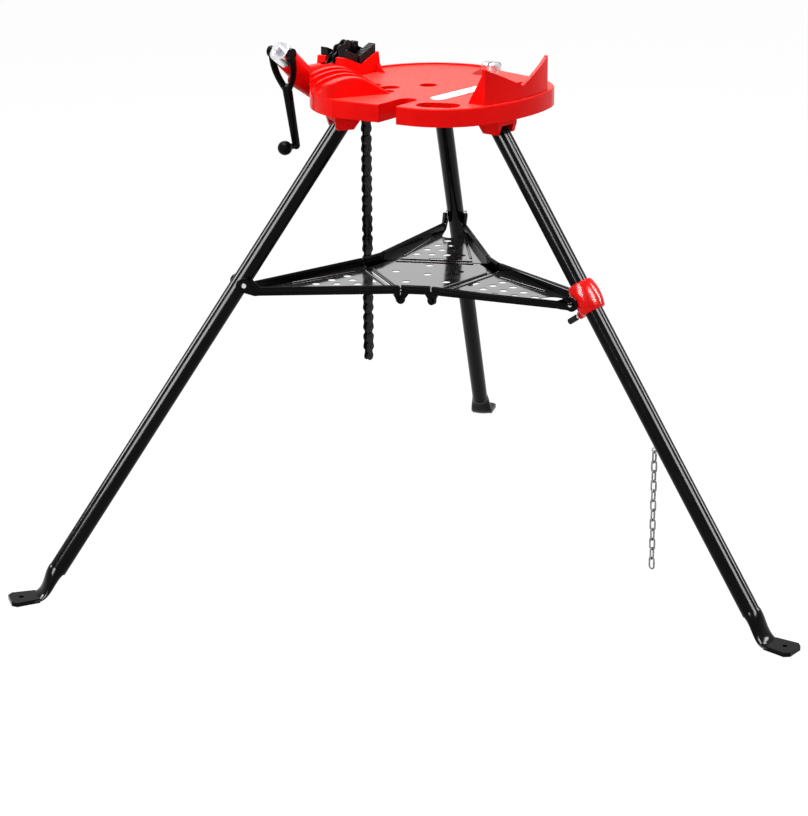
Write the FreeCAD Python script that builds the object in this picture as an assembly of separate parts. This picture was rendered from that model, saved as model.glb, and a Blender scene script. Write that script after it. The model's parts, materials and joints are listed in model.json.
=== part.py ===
import FreeCAD, Part
import math
import os

from FreeCAD import Placement, Rotation, Vector

# Tripod pipe vise stand.  Millimetres, +Z up, floor at z = 0.
# The pieces are modelled about the vertical axis of the tripod: the vise is at +Y, the
# V-shaped pipe rest at -Y and the pipe benders at -X, +Y.  At the end everything is moved
# along Y so that the middle of the footprint is the origin.

# ---------------------------------------------------------------- driving dimensions
table_height = 860.0
skirt_height = 31.0
top_thickness = 10.0
skirt_wall = 7.0
top_round = 3.0
table_shift = 4.0
front_reach = 212.0
side_reach = 204.0
front_corner_x = 100.0
waist_x = 177.0
waist_y = -110.0
shoulder_y = 45.0
back_corner_x = 108.0
back_corner_y = 173.0
back_edge_x = 62.0
back_edge_y = 190.0

tube_radius = 16.0
tube_wall = 2.6
leg_splay = 35.4
leg_azimuths = {"front": 270.0, "left": 150.0, "right": 30.0}
leg_pin_reach = 143.2
leg_pin_drop = 34.0
leg_pin_radius = 6.0
leg_top_length = 12.0
ankle_length = 58.0
ankle_bend = 26.0
running_gap = 0.06
body_gap = 0.3
side_gap = 0.6

foot_length = 54.0
foot_width = 46.0
foot_thickness = 8.0
foot_hole_radius = 4.5

socket_cheek = 9.0
socket_drop = 32.0
socket_reach = 36.0
socket_wall_drop = 14.0

tray_height = 515.0
tray_sheet = 2.5
tray_rail = 13.0
tray_hinge_reach = 87.0
tray_hinge_half = 98.0
tray_hinge_drop = 12.0
tray_seam = 1.5
tray_knuckle_radius = 8.0
tray_knuckle = 3.0
tray_hinge_pin_radius = 3.0
tray_ear = 3.0
tray_ear_radius = 13.0
tray_pin_rise = 20.24
tray_pin_radius = 4.0
tray_hole_radius = 6.0
tray_notch = 87.0

collar_radius = 26.0
collar_length = 54.0
collar_pin_offset = 15.0
collar_boss_radius = 9.0
plunger_drop = 21.0
plunger_radius = 3.0
plunger_boss_radius = 7.0
plunger_boss_reach = 31.0
plunger_knob_reach = 42.0
plunger_end_reach = 58.0

bender_heading = 146.0
bender_face_heading = 153.3
bender_face = 42.3
bender_back = 80.0
bender_start = 81.0
bender_crest = 153.0
bender_height = 33.0
bender_ramp_radius = 60.0
bender_fall_radius = 95.0
bender_corner = 12.0
bender_rim = 2.5
bender_sink = 3.0
bender_floor = 6.0
bender_grooves = ((82.9, -31.3, 13.0), (65.3, 2.5, 14.5), (85.8, 34.8, 11.5))

v_rest_x = 7.0
v_rest_half = 90.0
v_rest_ledge = 6.0
v_rest_wall = 6.5
v_rest_peak = 61.0
v_rest_valley = 23.0
v_rest_gusset = 36.0

vise_x = 3.5
vise_y = 186.0
jaw_half_width = 42.0
jaw_thickness = 16.0
jaw_depth = 15.0
jaw_valley = 35.0
jaw_rise = 17.0
cheek_half_width = 60.0
cheek_wall = 3.0
chain_channel = 25.0

barrel_tilt = 42.0
barrel_radius = 20.0
barrel_keel = 13.0
cap_x = -173.0
cap_rise = 62.0
housing_rise = 10.0
housing_radius = 20.0
housing_bore = 14.5
cap_radius = 23.0
cap_length = 26.0
screw_radius = 8.0
handle_length = 174.0
handle_tilt = 11.0
knob_radius = 13.0
chain_pitch = 19.05
chain_plate_radius = 7.5
chain_plate = 1.7
chain_waist = 0.72
chain_inner = 6.4
chain_pin_radius = 2.6
chain_lead_angles = (-20, 0, 5, 35, 50, 45, 20, -15, -40, -55, -68, -78)
chain_hanging_links = 28
chain_section_links = (2, 5, 5, 4, 4, 4, 4)

brace_x = 121.0
brace_y = -50.0
brace_head_radius = 18.0
brace_head_height = 30.0
brace_shank_radius = 12.0
brace_recess_radius = 20.0

tie_along_leg = 640.0
tie_wire = 1.6
tie_pitch = 17.6
tie_links = 12

# ---------------------------------------------------------------- derived places
splay = math.radians(leg_splay)
pin_height = table_height - leg_pin_drop
skirt_bottom = table_height - skirt_height
underside = table_height - top_thickness
tray_hinge_height = tray_height - tray_hinge_drop
tray_pin_along_leg = (pin_height - tray_height - tray_pin_rise) / math.cos(splay)
cap_z = table_height + cap_rise
housing_z = table_height + housing_rise
barrel_dir = Vector(-math.cos(math.radians(barrel_tilt)), 0, math.sin(math.radians(barrel_tilt)))
cap_centre = Vector(cap_x, vise_y, cap_z)

X = Vector(1, 0, 0)
Y = Vector(0, 1, 0)
Z = Vector(0, 0, 1)


# ---------------------------------------------------------------- helpers
def fuse(shapes):
    first = shapes[0]
    if len(shapes) == 1:
        return first
    return first.multiFuse(shapes[1:]).removeSplitter()


def cut(shape, tools):
    return shape.cut(Part.makeCompound(tools)) if tools else shape


def rod(start, end, radius):
    return Part.makeCylinder(radius, (end - start).Length, start, end - start)


def box(x0, x1, y0, y1, z0, z1):
    return Part.makeBox(x1 - x0, y1 - y0, z1 - z0, Vector(x0, y0, z0))


def prism(points, direction):
    ring = [Vector(*p) for p in points]
    return Part.Face(Part.makePolygon(ring + [ring[0]])).extrude(direction)


def plan_prism(points, z0, z1):
    return prism([(x, y, z0) for x, y in points], Z * (z1 - z0))


def arc(a, b, c):
    return Part.Arc(Vector(*a), Vector(*b), Vector(*c)).toShape()


def line(a, b):
    return Part.LineSegment(Vector(*a), Vector(*b)).toShape()


def turned(shape, azimuth):
    """Turns a piece drawn for azimuth 0, reaching along +X, to its own azimuth."""
    copy = shape.copy()
    copy.rotate(Vector(0, 0, 0), Z, azimuth)
    return copy


def slot_prism(centre, half_length, radius, direction_deg, z0, z1):
    """Upright obround through a level plate."""
    along = Vector(math.cos(math.radians(direction_deg)), math.sin(math.radians(direction_deg)), 0)
    a = Vector(centre[0], centre[1], z0) - along * half_length
    b = Vector(centre[0], centre[1], z0) + along * half_length
    side = Vector(-along.y, along.x, 0) * radius
    body = prism([tuple(a + side), tuple(a - side), tuple(b - side), tuple(b + side)], Z * (z1 - z0))
    ends = [Part.makeCylinder(radius, z1 - z0, p, Z) for p in (a, b)]
    return fuse([body] + ends)


# ---------------------------------------------------------------- table casting
def table_outline(inset):
    """Closed plan outline of the table, moved inwards by inset."""
    front = front_reach - inset
    side = side_reach - inset
    waist = waist_x - inset
    corner = front_corner_x - inset * 0.4
    back_x = back_corner_x - inset * 0.6
    back_y = back_corner_y - inset * 0.8
    edge_x = back_edge_x - inset * 0.2
    edge_y = back_edge_y - inset
    edges = [
        arc((-corner, -front + 16, 0), (0, -front, 0), (corner, -front + 16, 0)),
        arc((corner, -front + 16, 0), (waist - 24, waist_y - 48, 0), (waist, waist_y, 0)),
        line((waist, waist_y, 0), (side, shoulder_y, 0)),
        arc((side, shoulder_y, 0), (side - 34, shoulder_y + 80, 0), (back_x, back_y, 0)),
        line((back_x, back_y, 0), (edge_x, edge_y, 0)),
        line((edge_x, edge_y, 0), (-edge_x, edge_y, 0)),
        line((-edge_x, edge_y, 0), (-back_x, back_y, 0)),
        arc((-back_x, back_y, 0), (-side + 34, shoulder_y + 80, 0), (-side, shoulder_y, 0)),
        line((-side, shoulder_y, 0), (-waist, waist_y, 0)),
        arc((-waist, waist_y, 0), (-waist + 24, waist_y - 48, 0), (-corner, -front + 16, 0)),
    ]
    face = Part.Face(Part.Wire(edges))
    face.translate(Vector(table_shift, 0, 0))
    return face


def outline_prism(inset, z0, z1):
    face = table_outline(inset)
    face.translate(Vector(0, 0, z0))
    return face.extrude(Z * (z1 - z0))


def table_shell():
    outer = outline_prism(0.0, skirt_bottom, table_height)
    top_edges = [e for e in outer.Edges if e.BoundBox.ZMin > table_height - 0.1]
    outer = outer.makeFillet(top_round, top_edges)
    inner = outline_prism(skirt_wall, skirt_bottom - 1, underside)
    return outer.cut(inner)


def bender_frame(heading):
    """Level unit vectors along a heading in degrees and across it, towards the vise."""
    turn = math.radians(heading)
    along = Vector(math.cos(turn), math.sin(turn), 0)
    return along, Vector(along.y, -along.x, 0)


def bender_point(along_mm, across_mm, rise):
    """Point by its distance along the grooves, across them and above the table."""
    along, across = bender_frame(bender_heading)
    return along * along_mm + across * across_mm + Z * (table_height + rise)


def bender_ramp():
    """Slope of the benders' straight ramp and its length up to the crest's arc."""
    run = bender_crest - bender_start
    drop = bender_height - bender_ramp_radius
    reach = math.hypot(run, drop)
    slope = math.atan2(drop, run) + math.asin(bender_ramp_radius / reach)
    return slope, math.sqrt(reach ** 2 - bender_ramp_radius ** 2)


def bender_block():
    """Saddle of the benders: a ramp, a round crest and a fall to the table's edge."""
    slope, length = bender_ramp()
    depth = -4.0
    end = bender_crest + 70.0
    fall = math.asin((end - bender_crest) / bender_fall_radius)

    def at(along_mm, rise):
        return tuple(bender_point(along_mm, -90.0, rise))

    def on_arc(radius, angle):
        return at(bender_crest + radius * math.sin(angle), bender_height - radius * (1 - math.cos(angle)))

    ramp_top = at(bender_start + length * math.cos(slope), length * math.sin(slope))
    edges = [line(at(bender_start, depth), at(bender_start, 0)),
             line(at(bender_start, 0), ramp_top),
             arc(ramp_top, on_arc(bender_ramp_radius, -slope / 2), at(bender_crest, bender_height)),
             arc(at(bender_crest, bender_height), on_arc(bender_fall_radius, fall / 2),
                 on_arc(bender_fall_radius, fall)),
             line(on_arc(bender_fall_radius, fall), at(end, depth)),
             line(at(end, depth), at(bender_start, depth))]
    across = bender_frame(bender_heading)[1]
    saddle = Part.Face(Part.Wire(edges)).extrude(across * 220)
    along, across = bender_frame(bender_face_heading)
    corners = [along * a + across * c for a, c in
               ((60, -bender_face), (60, bender_back), (260, bender_back), (260, -bender_face))]
    plan = outline_prism(0.4, table_height + depth, table_height + bender_height + 5.0).common(
        plan_prism([(q.x, q.y) for q in corners], table_height + depth, table_height + bender_height + 5.0))
    corner = [e for e in plan.Edges if e.BoundBox.ZLength > bender_height
              and e.BoundBox.XMax < 30 - side_reach + table_shift and e.BoundBox.YMax < bender_back]
    block = saddle.common(plan.makeFillet(bender_corner, corner))
    return block.makeFillet(bender_rim, [e for e in block.Edges if on_bender_rim(e)])


def on_bender_rim(edge):
    """True for the edges that bound the top of the benders' front face."""
    across = bender_frame(bender_face_heading)[1]
    middle = edge.valueAt((edge.FirstParameter + edge.LastParameter) / 2)
    ends = [v.Point for v in edge.Vertexes] + [middle]
    on_face = all(abs(q.dot(across) + bender_face) < 0.01 for q in ends)
    sloped = edge.BoundBox.ZLength > 3.0 and edge.BoundBox.ZMax > table_height + 12.0
    return on_face and sloped and middle.z > table_height + 1.0


def bender_tools():
    """Round-bottomed grooves that follow the saddle, each with a hole at its inner end."""
    slope, length = bender_ramp()
    axis = bender_frame(bender_heading)[1]
    along = bender_frame(bender_heading)[0]
    tools = []
    floors = []
    for hole_at, across_mm, radius in bender_grooves:
        crest = bender_point(bender_crest, across_mm, bender_height - bender_sink)
        ring = Part.Face(Part.Wire([Part.Circle(crest, along, radius).toShape()]))
        ramp_centre = bender_point(bender_crest, across_mm, bender_height - bender_ramp_radius)
        fall_centre = bender_point(bender_crest, across_mm, bender_height - bender_fall_radius)
        rise = ring.copy().revolve(ramp_centre, axis, math.degrees(slope))
        fall = ring.copy().revolve(fall_centre, axis, -50)
        inner = bender_ramp_radius - bender_sink
        top = bender_point(bender_crest - inner * math.sin(slope), across_mm,
                           bender_height - bender_ramp_radius + inner * math.cos(slope))
        down = along * -math.cos(slope) - Z * math.sin(slope)
        hole = bender_point(hole_at, across_mm, 0)
        to_hole = (top - hole).dot(along) / math.cos(slope)
        tools.append(rise.fuse([fall, rod(top, top + down * to_hole, radius)]))
        tools.append(Part.makeCylinder(radius + 1.0, 80, Vector(hole.x, hole.y, skirt_bottom - 20), Z))
        floor = rod(top + down * (length * 0.4), top + down * (to_hole + radius), radius + bender_floor)
        floors.append(floor.common(box(-240, 0, -40, 200, skirt_bottom + 2, table_height - 1)))
    return floors, tools


def v_rest():
    """Upright V wall on a ledge inside the front edge, with a gusset behind each peak."""
    base = table_height - 2.0
    peak = table_height + v_rest_peak
    valley = table_height + v_rest_valley
    front = -front_reach
    edge_radius = (front_corner_x ** 2 + 16.0 ** 2) / (2 * 16.0)
    ring_centre = Vector(table_shift, front + edge_radius, base)
    outer = Part.makeCylinder(edge_radius - v_rest_ledge, 80, ring_centre, Z)
    inner = Part.makeCylinder(edge_radius - v_rest_ledge - v_rest_wall, 80, ring_centre, Z)
    left = v_rest_x - v_rest_half
    right = v_rest_x + v_rest_half
    profile = [(left, front, base), (right, front, base), (right, front, peak),
               (v_rest_x, front, valley), (left, front, peak)]
    shapes = [prism(profile, Y * 40).common(outer.cut(inner))]
    for side, x0 in ((-1, left), (1, right)):
        reach = edge_radius - v_rest_ledge - 1.0
        wall_y = ring_centre.y - math.sqrt(reach ** 2 - (x0 - table_shift) ** 2)
        tri = [(x0, wall_y, base), (x0, wall_y + v_rest_gusset, base), (x0, wall_y, peak - 1.0)]
        shapes.append(prism(tri, X * (-side * v_rest_wall)))
    return fuse(shapes)


def leg_socket():
    """Two cheeks and a stop wall under the table, drawn for azimuth 0."""
    half = tube_radius + side_gap
    low = skirt_bottom - socket_drop
    offset = (tube_radius + body_gap) / math.cos(splay)

    def wall_reach(z):
        return leg_pin_reach + (pin_height - z) * math.tan(splay) + offset

    end = leg_pin_reach + socket_reach
    wall_low = pin_height - socket_wall_drop
    cheek = [(leg_pin_reach - 20, 0, underside + 1), (leg_pin_reach - 16, 0, pin_height - 6),
             (leg_pin_reach + 2, 0, low), (end - 5, 0, low), (end, 0, wall_low), (end, 0, underside + 1)]
    wall = [(wall_reach(underside + 1), 0, underside + 1), (wall_reach(wall_low), 0, wall_low),
            (end, 0, wall_low), (end, 0, underside + 1)]
    shapes = []
    for side in (-1, 1):
        near = side * half
        piece = prism([(x, near, z) for x, _, z in cheek], Y * (side * socket_cheek))
        shapes.append(piece)
    shapes.append(prism([(x, -half - 1, z) for x, _, z in wall], Y * (2 * half + 2)))
    socket = fuse(shapes)
    axis_start = Vector(leg_pin_reach, -60, pin_height)
    pin_bore = Part.makeCylinder(leg_pin_radius, 120, axis_start, Y)
    swing = Part.makeCylinder(math.hypot(tube_radius, leg_top_length) + 1.0, 2 * half,
                              Vector(leg_pin_reach, -half, pin_height), Y)
    return cut(socket, [pin_bore, swing])


def vise_cheeks():
    """Two flared cheeks with V tops that carry the jaws, and the channel between them."""
    half_channel = chain_channel / 2
    seat = table_height + jaw_valley - jaw_depth
    half_seat = jaw_half_width + 1.0
    top = seat + jaw_rise
    right = [(0, seat), (half_seat, top), (half_seat + 5, top), (half_seat + 8, seat - 4),
             (cheek_half_width - 3, table_height + 5), (cheek_half_width, table_height - 3)]
    left = [(-x, z) for x, z in reversed(right[1:])]
    shapes = []
    for side in (-1, 1):
        y_near = vise_y + side * half_channel
        y_far = y_near + side * (jaw_thickness + cheek_wall)
        profile = [(vise_x + x, y_near, z) for x, z in left + right]
        shapes.append(prism(profile, Y * (y_far - y_near)))
    return shapes


def vise_base():
    """Neck of the casting under the cheeks, down to the skirt's lower edge."""
    back = vise_y + chain_channel / 2 + jaw_thickness + cheek_wall + 2.0
    front = back_edge_y - 20
    neck = [(-62, front), (70, front), (70, back - 8), (62, back), (-54, back), (-62, back - 8)]
    solid = plan_prism(neck, skirt_bottom, table_height)
    hollow = [(-54, front - 10), (62, front - 10), (62, back - 10), (56, back - 8), (-48, back - 8),
              (-54, back - 10)]
    return solid, plan_prism(hollow, skirt_bottom - 1, underside)


def barrel_point(distance):
    """Point on the chain screw's axis, measured down the barrel from the cap's middle."""
    return cap_centre - barrel_dir * distance


def barrel_and_housing():
    """Slanting barrel of the chain's screw, its keel, and the level housing to the cheeks."""
    bend_distance = (cap_z - housing_z) / math.sin(math.radians(barrel_tilt))
    bend = barrel_point(bend_distance)
    top = barrel_point(cap_length / 2 + 3.0)
    keel_top = bend + Vector(-28, 0, 2)
    keel_foot = Vector(bend.x + 22, vise_y, skirt_bottom + barrel_keel)
    keel_end = Vector(-56, vise_y, keel_foot.z)
    outer = [rod(top, bend - barrel_dir * 2, barrel_radius),
             Part.makeSphere(housing_radius, bend),
             rod(bend, Vector(-44, vise_y, housing_z), housing_radius),
             rod(keel_top, keel_foot, barrel_keel),
             Part.makeSphere(barrel_keel, keel_foot),
             rod(keel_foot, keel_end, barrel_keel)]
    web = [tuple(keel_top), tuple(keel_foot), tuple(keel_end), (keel_end.x, vise_y, housing_z),
           tuple(bend)]
    outer.append(prism([(x, vise_y - barrel_keel, z) for x, y, z in web], Y * (2 * barrel_keel)))
    foot = plan_prism([(keel_foot.x, vise_y - 34), (-50, vise_y - 34), (-50, vise_y + 16),
                       (keel_foot.x, vise_y + 16)], skirt_bottom + 2, table_height - 1)
    inner = [rod(barrel_point(0), barrel_point(42), screw_radius + 0.5),
             rod(barrel_point(40), bend, housing_bore),
             Part.makeSphere(housing_bore, bend),
             rod(bend, Vector(-40, vise_y, housing_z), housing_bore)]
    window = box(-76, -48, vise_y - 9, vise_y + 9, housing_z, housing_z + 40)
    return outer + [foot, barrel_panel()], inner + [window]


def barrel_panel():
    """Raised frame on the barrel's upper front side."""
    upward = barrel_dir.cross(Y)
    facing = (upward * math.sin(math.radians(35)) - Y * math.cos(math.radians(35))).normalize()
    across = barrel_dir.cross(facing)
    height = barrel_radius + 1.6
    centre = barrel_point(cap_length / 2 + 31.0)
    placing = Placement(centre, Rotation(barrel_dir, across, facing, "XYZ"))
    frame = box(-22, 22, -7.5, 7.5, barrel_radius - 8, height).cut(
        box(-19.5, 19.5, -5, 5, barrel_radius + 0.4, height + 1))
    frame.Placement = placing
    return frame


def brace_boss():
    boss = Part.makeCylinder(brace_recess_radius + 5, top_thickness + 26,
                             Vector(brace_x, brace_y, underside - 26), Z)
    recess = Part.makeCylinder(brace_recess_radius, 14, Vector(brace_x, brace_y, table_height - 13), Z)
    bore = Part.makeCylinder(brace_shank_radius + running_gap, 80,
                             Vector(brace_x, brace_y, underside - 40), Z)
    return boss, [recess, bore]


def ribs():
    """Stiffening ribs under the top, from the hub to the skirt between the legs."""
    hub = Part.makeCylinder(28, 21, Vector(table_shift, 0, underside - 20), Z)
    shapes = [hub]
    for azimuth in (210, 330):
        rib = box(20, 185, -3.5, 3.5, underside - 16, underside + 1)
        shapes.append(turned(rib, azimuth))
    shapes.append(turned(box(20, 150, -3.5, 3.5, underside - 16, underside + 1), 90))
    return fuse(shapes).common(outline_prism(skirt_wall - 1, skirt_bottom, table_height - 2))


def table_openings():
    z0 = skirt_bottom - 10
    z1 = table_height + 10
    tools = [Part.makeCylinder(16, z1 - z0, Vector(table_shift, 0, z0), Z)]
    tools.append(slot_prism((-160, -60), 36, 17, 184, z0, z1))
    tools.append(slot_prism((180, 6), 33, 16, 18, z0, z1))
    tools.append(slot_prism((-127, -128), 16, 22, 118, z0, z1))
    tools.append(Part.makeCylinder(20, z1 - z0, Vector(121, -128, z0), Z))
    tools.append(Part.makeCylinder(9, z1 - z0, Vector(66, -150, z0), Z))
    tools.append(Part.makeCylinder(5.5, z1 - z0, Vector(-76, 158, z0), Z))
    return tools


def slot_walls():
    """Walls that line the two side notches down to the skirt's lower edge."""
    left = slot_prism((-150, -60), 30, 23, 184, skirt_bottom, table_height - 1)
    right = slot_prism((170, 3), 28, 22, 18, skirt_bottom, table_height - 1)
    within = outline_prism(1.0, skirt_bottom, table_height - 1)
    return [left.common(within), right.common(within)]


def vise_details():
    """Two thin ribs in front of the vise's base."""
    shapes = []
    front = vise_y - chain_channel / 2 - jaw_thickness - cheek_wall
    for x in (vise_x - 43.0, vise_x + 43.0):
        tri = [(x - 1.5, front + 1, table_height - 1), (x - 1.5, front + 1, table_height + 17),
               (x - 1.5, front - 20, table_height - 1)]
        shapes.append(prism(tri, X * 3))
    return shapes


def edge_lip():
    """Low lip along the edge from the vise round to the right-hand notch."""
    band = outline_prism(1.5, table_height - 1, table_height + 3).cut(
        outline_prism(8.0, table_height - 2, table_height + 4))
    return band.common(box(72, 240, 30, 240, table_height - 2, table_height + 4))


def table_casting():
    floors, grooves = bender_tools()
    neck, neck_hollow = vise_base()
    barrels, bores = barrel_and_housing()
    boss, boss_tools = brace_boss()
    body = [table_shell(), bender_block(), v_rest(), neck, boss, ribs(), edge_lip()] + floors
    body += vise_cheeks() + barrels + slot_walls() + vise_details()
    body += [turned(leg_socket(), a) for a in leg_azimuths.values()]
    solid = fuse(body)
    half_channel = chain_channel / 2
    channel = box(-50, 76, vise_y - half_channel, vise_y + half_channel, table_height, table_height + 90)
    chain_drop = box(32, 62, vise_y - half_channel, vise_y + half_channel, skirt_bottom - 5, table_height + 1)
    tools = grooves + bores + boss_tools + table_openings() + [neck_hollow, channel, chain_drop]
    for azimuth in leg_azimuths.values():
        half = tube_radius + side_gap
        pin_bore = Part.makeCylinder(leg_pin_radius, 120, Vector(leg_pin_reach, -60, pin_height), Y)
        swing = Part.makeCylinder(math.hypot(tube_radius, leg_top_length) + 1.0, 2 * half,
                                  Vector(leg_pin_reach, -half, pin_height), Y)
        tools += [turned(pin_bore, azimuth), turned(swing, azimuth)]
    return cut(solid, tools)


# ---------------------------------------------------------------- legs
def leg_point(distance):
    """Point on a leg's axis in its own upright plane, measured down from the hinge pin."""
    return Vector(leg_pin_reach + distance * math.sin(splay), 0, pin_height - distance * math.cos(splay))


def ellipse_wire(centre, half_across, half_thick, normal):
    """Ellipse across the leg's plane, with its long axis along Y."""
    normal = Vector(normal).normalize()
    turn = Rotation(Y, normal.cross(Y), normal, "XYZ")
    edge = Part.Ellipse(Vector(0, 0, 0), half_across, half_thick).toShape()
    edge.Placement = Placement(centre, turn)
    return Part.Wire([edge])


def leg_tube(name):
    """Tube with its lower end pressed flat and bent outwards as a foot."""
    along = Vector(math.sin(splay), 0, -math.cos(splay))
    ground = (pin_height - foot_thickness / 2) / math.cos(splay)
    neck = leg_point(ground - ankle_length)
    heel = leg_point(ground)
    tube = rod(leg_point(-leg_top_length), neck + along * 4, tube_radius)
    sections = [ellipse_wire(neck, tube_radius + 0.4, tube_radius + 0.4, along),
                ellipse_wire(leg_point(ground - ankle_bend), foot_width * 0.45, tube_radius * 0.62, along + X * 0.1),
                ellipse_wire(heel + Vector(0, 0, 2.4), foot_width * 0.5, foot_thickness * 0.72, along + X * 0.9),
                ellipse_wire(heel + Vector(15, 0, 0), foot_width * 0.5, foot_thickness * 0.46, X)]
    ankle = Part.makeLoft(sections, True, False)
    tip = heel.x + foot_length
    half = foot_width / 2 + 1.5
    sole = [(heel.x + 5, -half + 4), (tip - 8, -half), (tip, -half + 8), (tip, half - 8), (tip - 8, half),
            (heel.x + 5, half - 4)]
    paddle = plan_prism(sole, 0, foot_thickness)
    solid = fuse([tube, ankle, paddle])
    solid = solid.cut(box(0, tip + 10, -60, 60, -20, 0))
    bore = rod(leg_point(-leg_top_length - 1), leg_point(ground - ankle_length - 12), tube_radius - tube_wall)
    hinge_hole = Part.makeCylinder(leg_pin_radius + running_gap, 60, Vector(leg_pin_reach, -30, pin_height), Y)
    bolt_hole = Part.makeCylinder(foot_hole_radius, 30, Vector(tip - 20, 0, -5), Z)
    holes = [bore, hinge_hole, bolt_hole]
    if name != "front":
        holes.append(Part.makeCylinder(tray_pin_radius, 60, tray_pin_point(name) - Y * 30, Y))
    return turned(cut(solid, holes), leg_azimuths[name])


def leg_hinge_pins():
    length = 2 * (tube_radius + side_gap + socket_cheek) - 2.0
    pin = Part.makeCylinder(leg_pin_radius, length, Vector(leg_pin_reach, -length / 2, pin_height), Y)
    return [turned(pin, a) for a in leg_azimuths.values()]


def inward():
    """Unit vector square to a leg, towards the inside of the tripod and down."""
    return Vector(-math.cos(splay), 0, -math.sin(splay))


def tray_pin_point(name):
    """Where the tray's pin crosses a leg's plane: on the axis, or inside it at the collar."""
    offset = collar_pin_offset if name == "front" else 0.0
    return leg_point(tray_pin_along_leg) + inward() * offset


def collar():
    """Rounded sleeve that slides on the front leg, with two bosses for the tray's pivot pins."""
    half = collar_length / 2
    end = collar_radius - 4.0
    corner = 2.0
    edges = [line((0, 0, -half), (end - corner, 0, -half)),
             line((end - corner, 0, -half), (end, 0, -half + corner)),
             arc((end, 0, -half + corner), (collar_radius, 0, 0), (end, 0, half - corner)),
             line((end, 0, half - corner), (end - corner, 0, half)),
             line((end - corner, 0, half), (0, 0, half)),
             line((0, 0, half), (0, 0, -half))]
    barrel = Part.Face(Part.Wire(edges)).revolve(Vector(0, 0, 0), Z, 360)
    reach = ear_half_gap("front") - 1.0
    pin_at = Vector(-collar_pin_offset, 0, 0)
    boss = rod(pin_at - Y * reach, pin_at + Y * reach, collar_boss_radius)
    lug_at = Vector(0, 0, -plunger_drop)
    lug = rod(lug_at - X * (tube_radius + 3), lug_at - X * plunger_boss_reach, plunger_boss_radius)
    holes = [Part.makeCylinder(tube_radius + running_gap, collar_length + 10, Vector(0, 0, -half - 5), Z),
             rod(lug_at, lug_at - X * 60, plunger_radius + running_gap)]
    holes += [rod(pin_at + Y * (side * collar_stub_start()), pin_at + Y * (side * 60), tray_pin_radius)
              for side in (-1, 1)]
    solid = cut(fuse([barrel, boss, lug]), holes)
    solid.Placement = Placement(leg_point(tray_pin_along_leg), Rotation(Y, -leg_splay))
    return turned(solid, leg_azimuths["front"])


def collar_stub_start():
    return tube_radius + 1.5


def plunger_point(reach):
    """Point on the lock plunger's axis, by its distance from the leg's axis."""
    return leg_point(tray_pin_along_leg + plunger_drop) + inward() * reach


def lock_plunger():
    """Spring plunger with a black grip, square to the leg on the collar's inner side."""
    tip = tube_radius + running_gap + body_gap
    stem = rod(plunger_point(tip), plunger_point(plunger_knob_reach), plunger_radius)
    grip = rod(plunger_point(plunger_knob_reach - 4), plunger_point(plunger_end_reach), 5.4)
    grip = grip.makeFillet(1.8, [e for e in grip.Edges if len(e.Vertexes) == 1])
    return turned(stem.cut(grip), leg_azimuths["front"]), turned(grip, leg_azimuths["front"])


def tray_pin(name):
    """The part of the tray's pivot pin that stays in the leg, or in the collar's two bosses."""
    end = ear_half_gap(name) - body_gap
    centre = tray_pin_point(name)
    if name == "front":
        pins = [rod(centre + Y * (side * collar_stub_start()), centre + Y * (side * end), tray_pin_radius)
                for side in (-1, 1)]
    else:
        pins = [rod(centre - Y * end, centre + Y * end, tray_pin_radius)]
    return [turned(pin, leg_azimuths[name]) for pin in pins]


def ear_half_gap(name):
    return (collar_radius if name == "front" else tube_radius) + side_gap


# ---------------------------------------------------------------- tray
def plate_corner_angle():
    return math.atan2(tray_hinge_half, tray_hinge_reach)


def plate_outline(inset):
    """Corners of the centre plate: three long hinge sides and three short ones."""
    radius = math.hypot(tray_hinge_reach, tray_hinge_half) - inset / math.cos(plate_corner_angle() / 2)
    points = []
    for azimuth in (30, 150, 270):
        for side in (-1, 1):
            angle = math.radians(azimuth) + side * plate_corner_angle()
            points.append((radius * math.cos(angle), radius * math.sin(angle)))
    return points


def bead(start, end, radius):
    """Half-round rib pressed up in a sheet."""
    whole = rod(start, end, radius)
    cap_a = Part.makeSphere(radius, start)
    cap_b = Part.makeSphere(radius, end)
    return fuse([whole, cap_a, cap_b])


def knuckle(sign, lateral, thickness, reach):
    """Hinge ear: an eye round the hinge axis and a strip up to the sheet on one side."""
    axis_x = tray_hinge_reach
    z = tray_hinge_height
    r = tray_knuckle_radius
    top = tray_height - tray_sheet / 2
    eye = Part.makeCylinder(r, thickness, Vector(axis_x, lateral, z), Y)
    strip = [(axis_x + sign * 2.6, lateral, top), (axis_x + sign * reach, lateral, top),
             (axis_x + sign * (r - 1.0), lateral, z - 2.6), (axis_x - sign * (r - 6.0), lateral, z + 2.0)]
    return fuse([eye, prism(strip, Y * thickness)])


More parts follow.
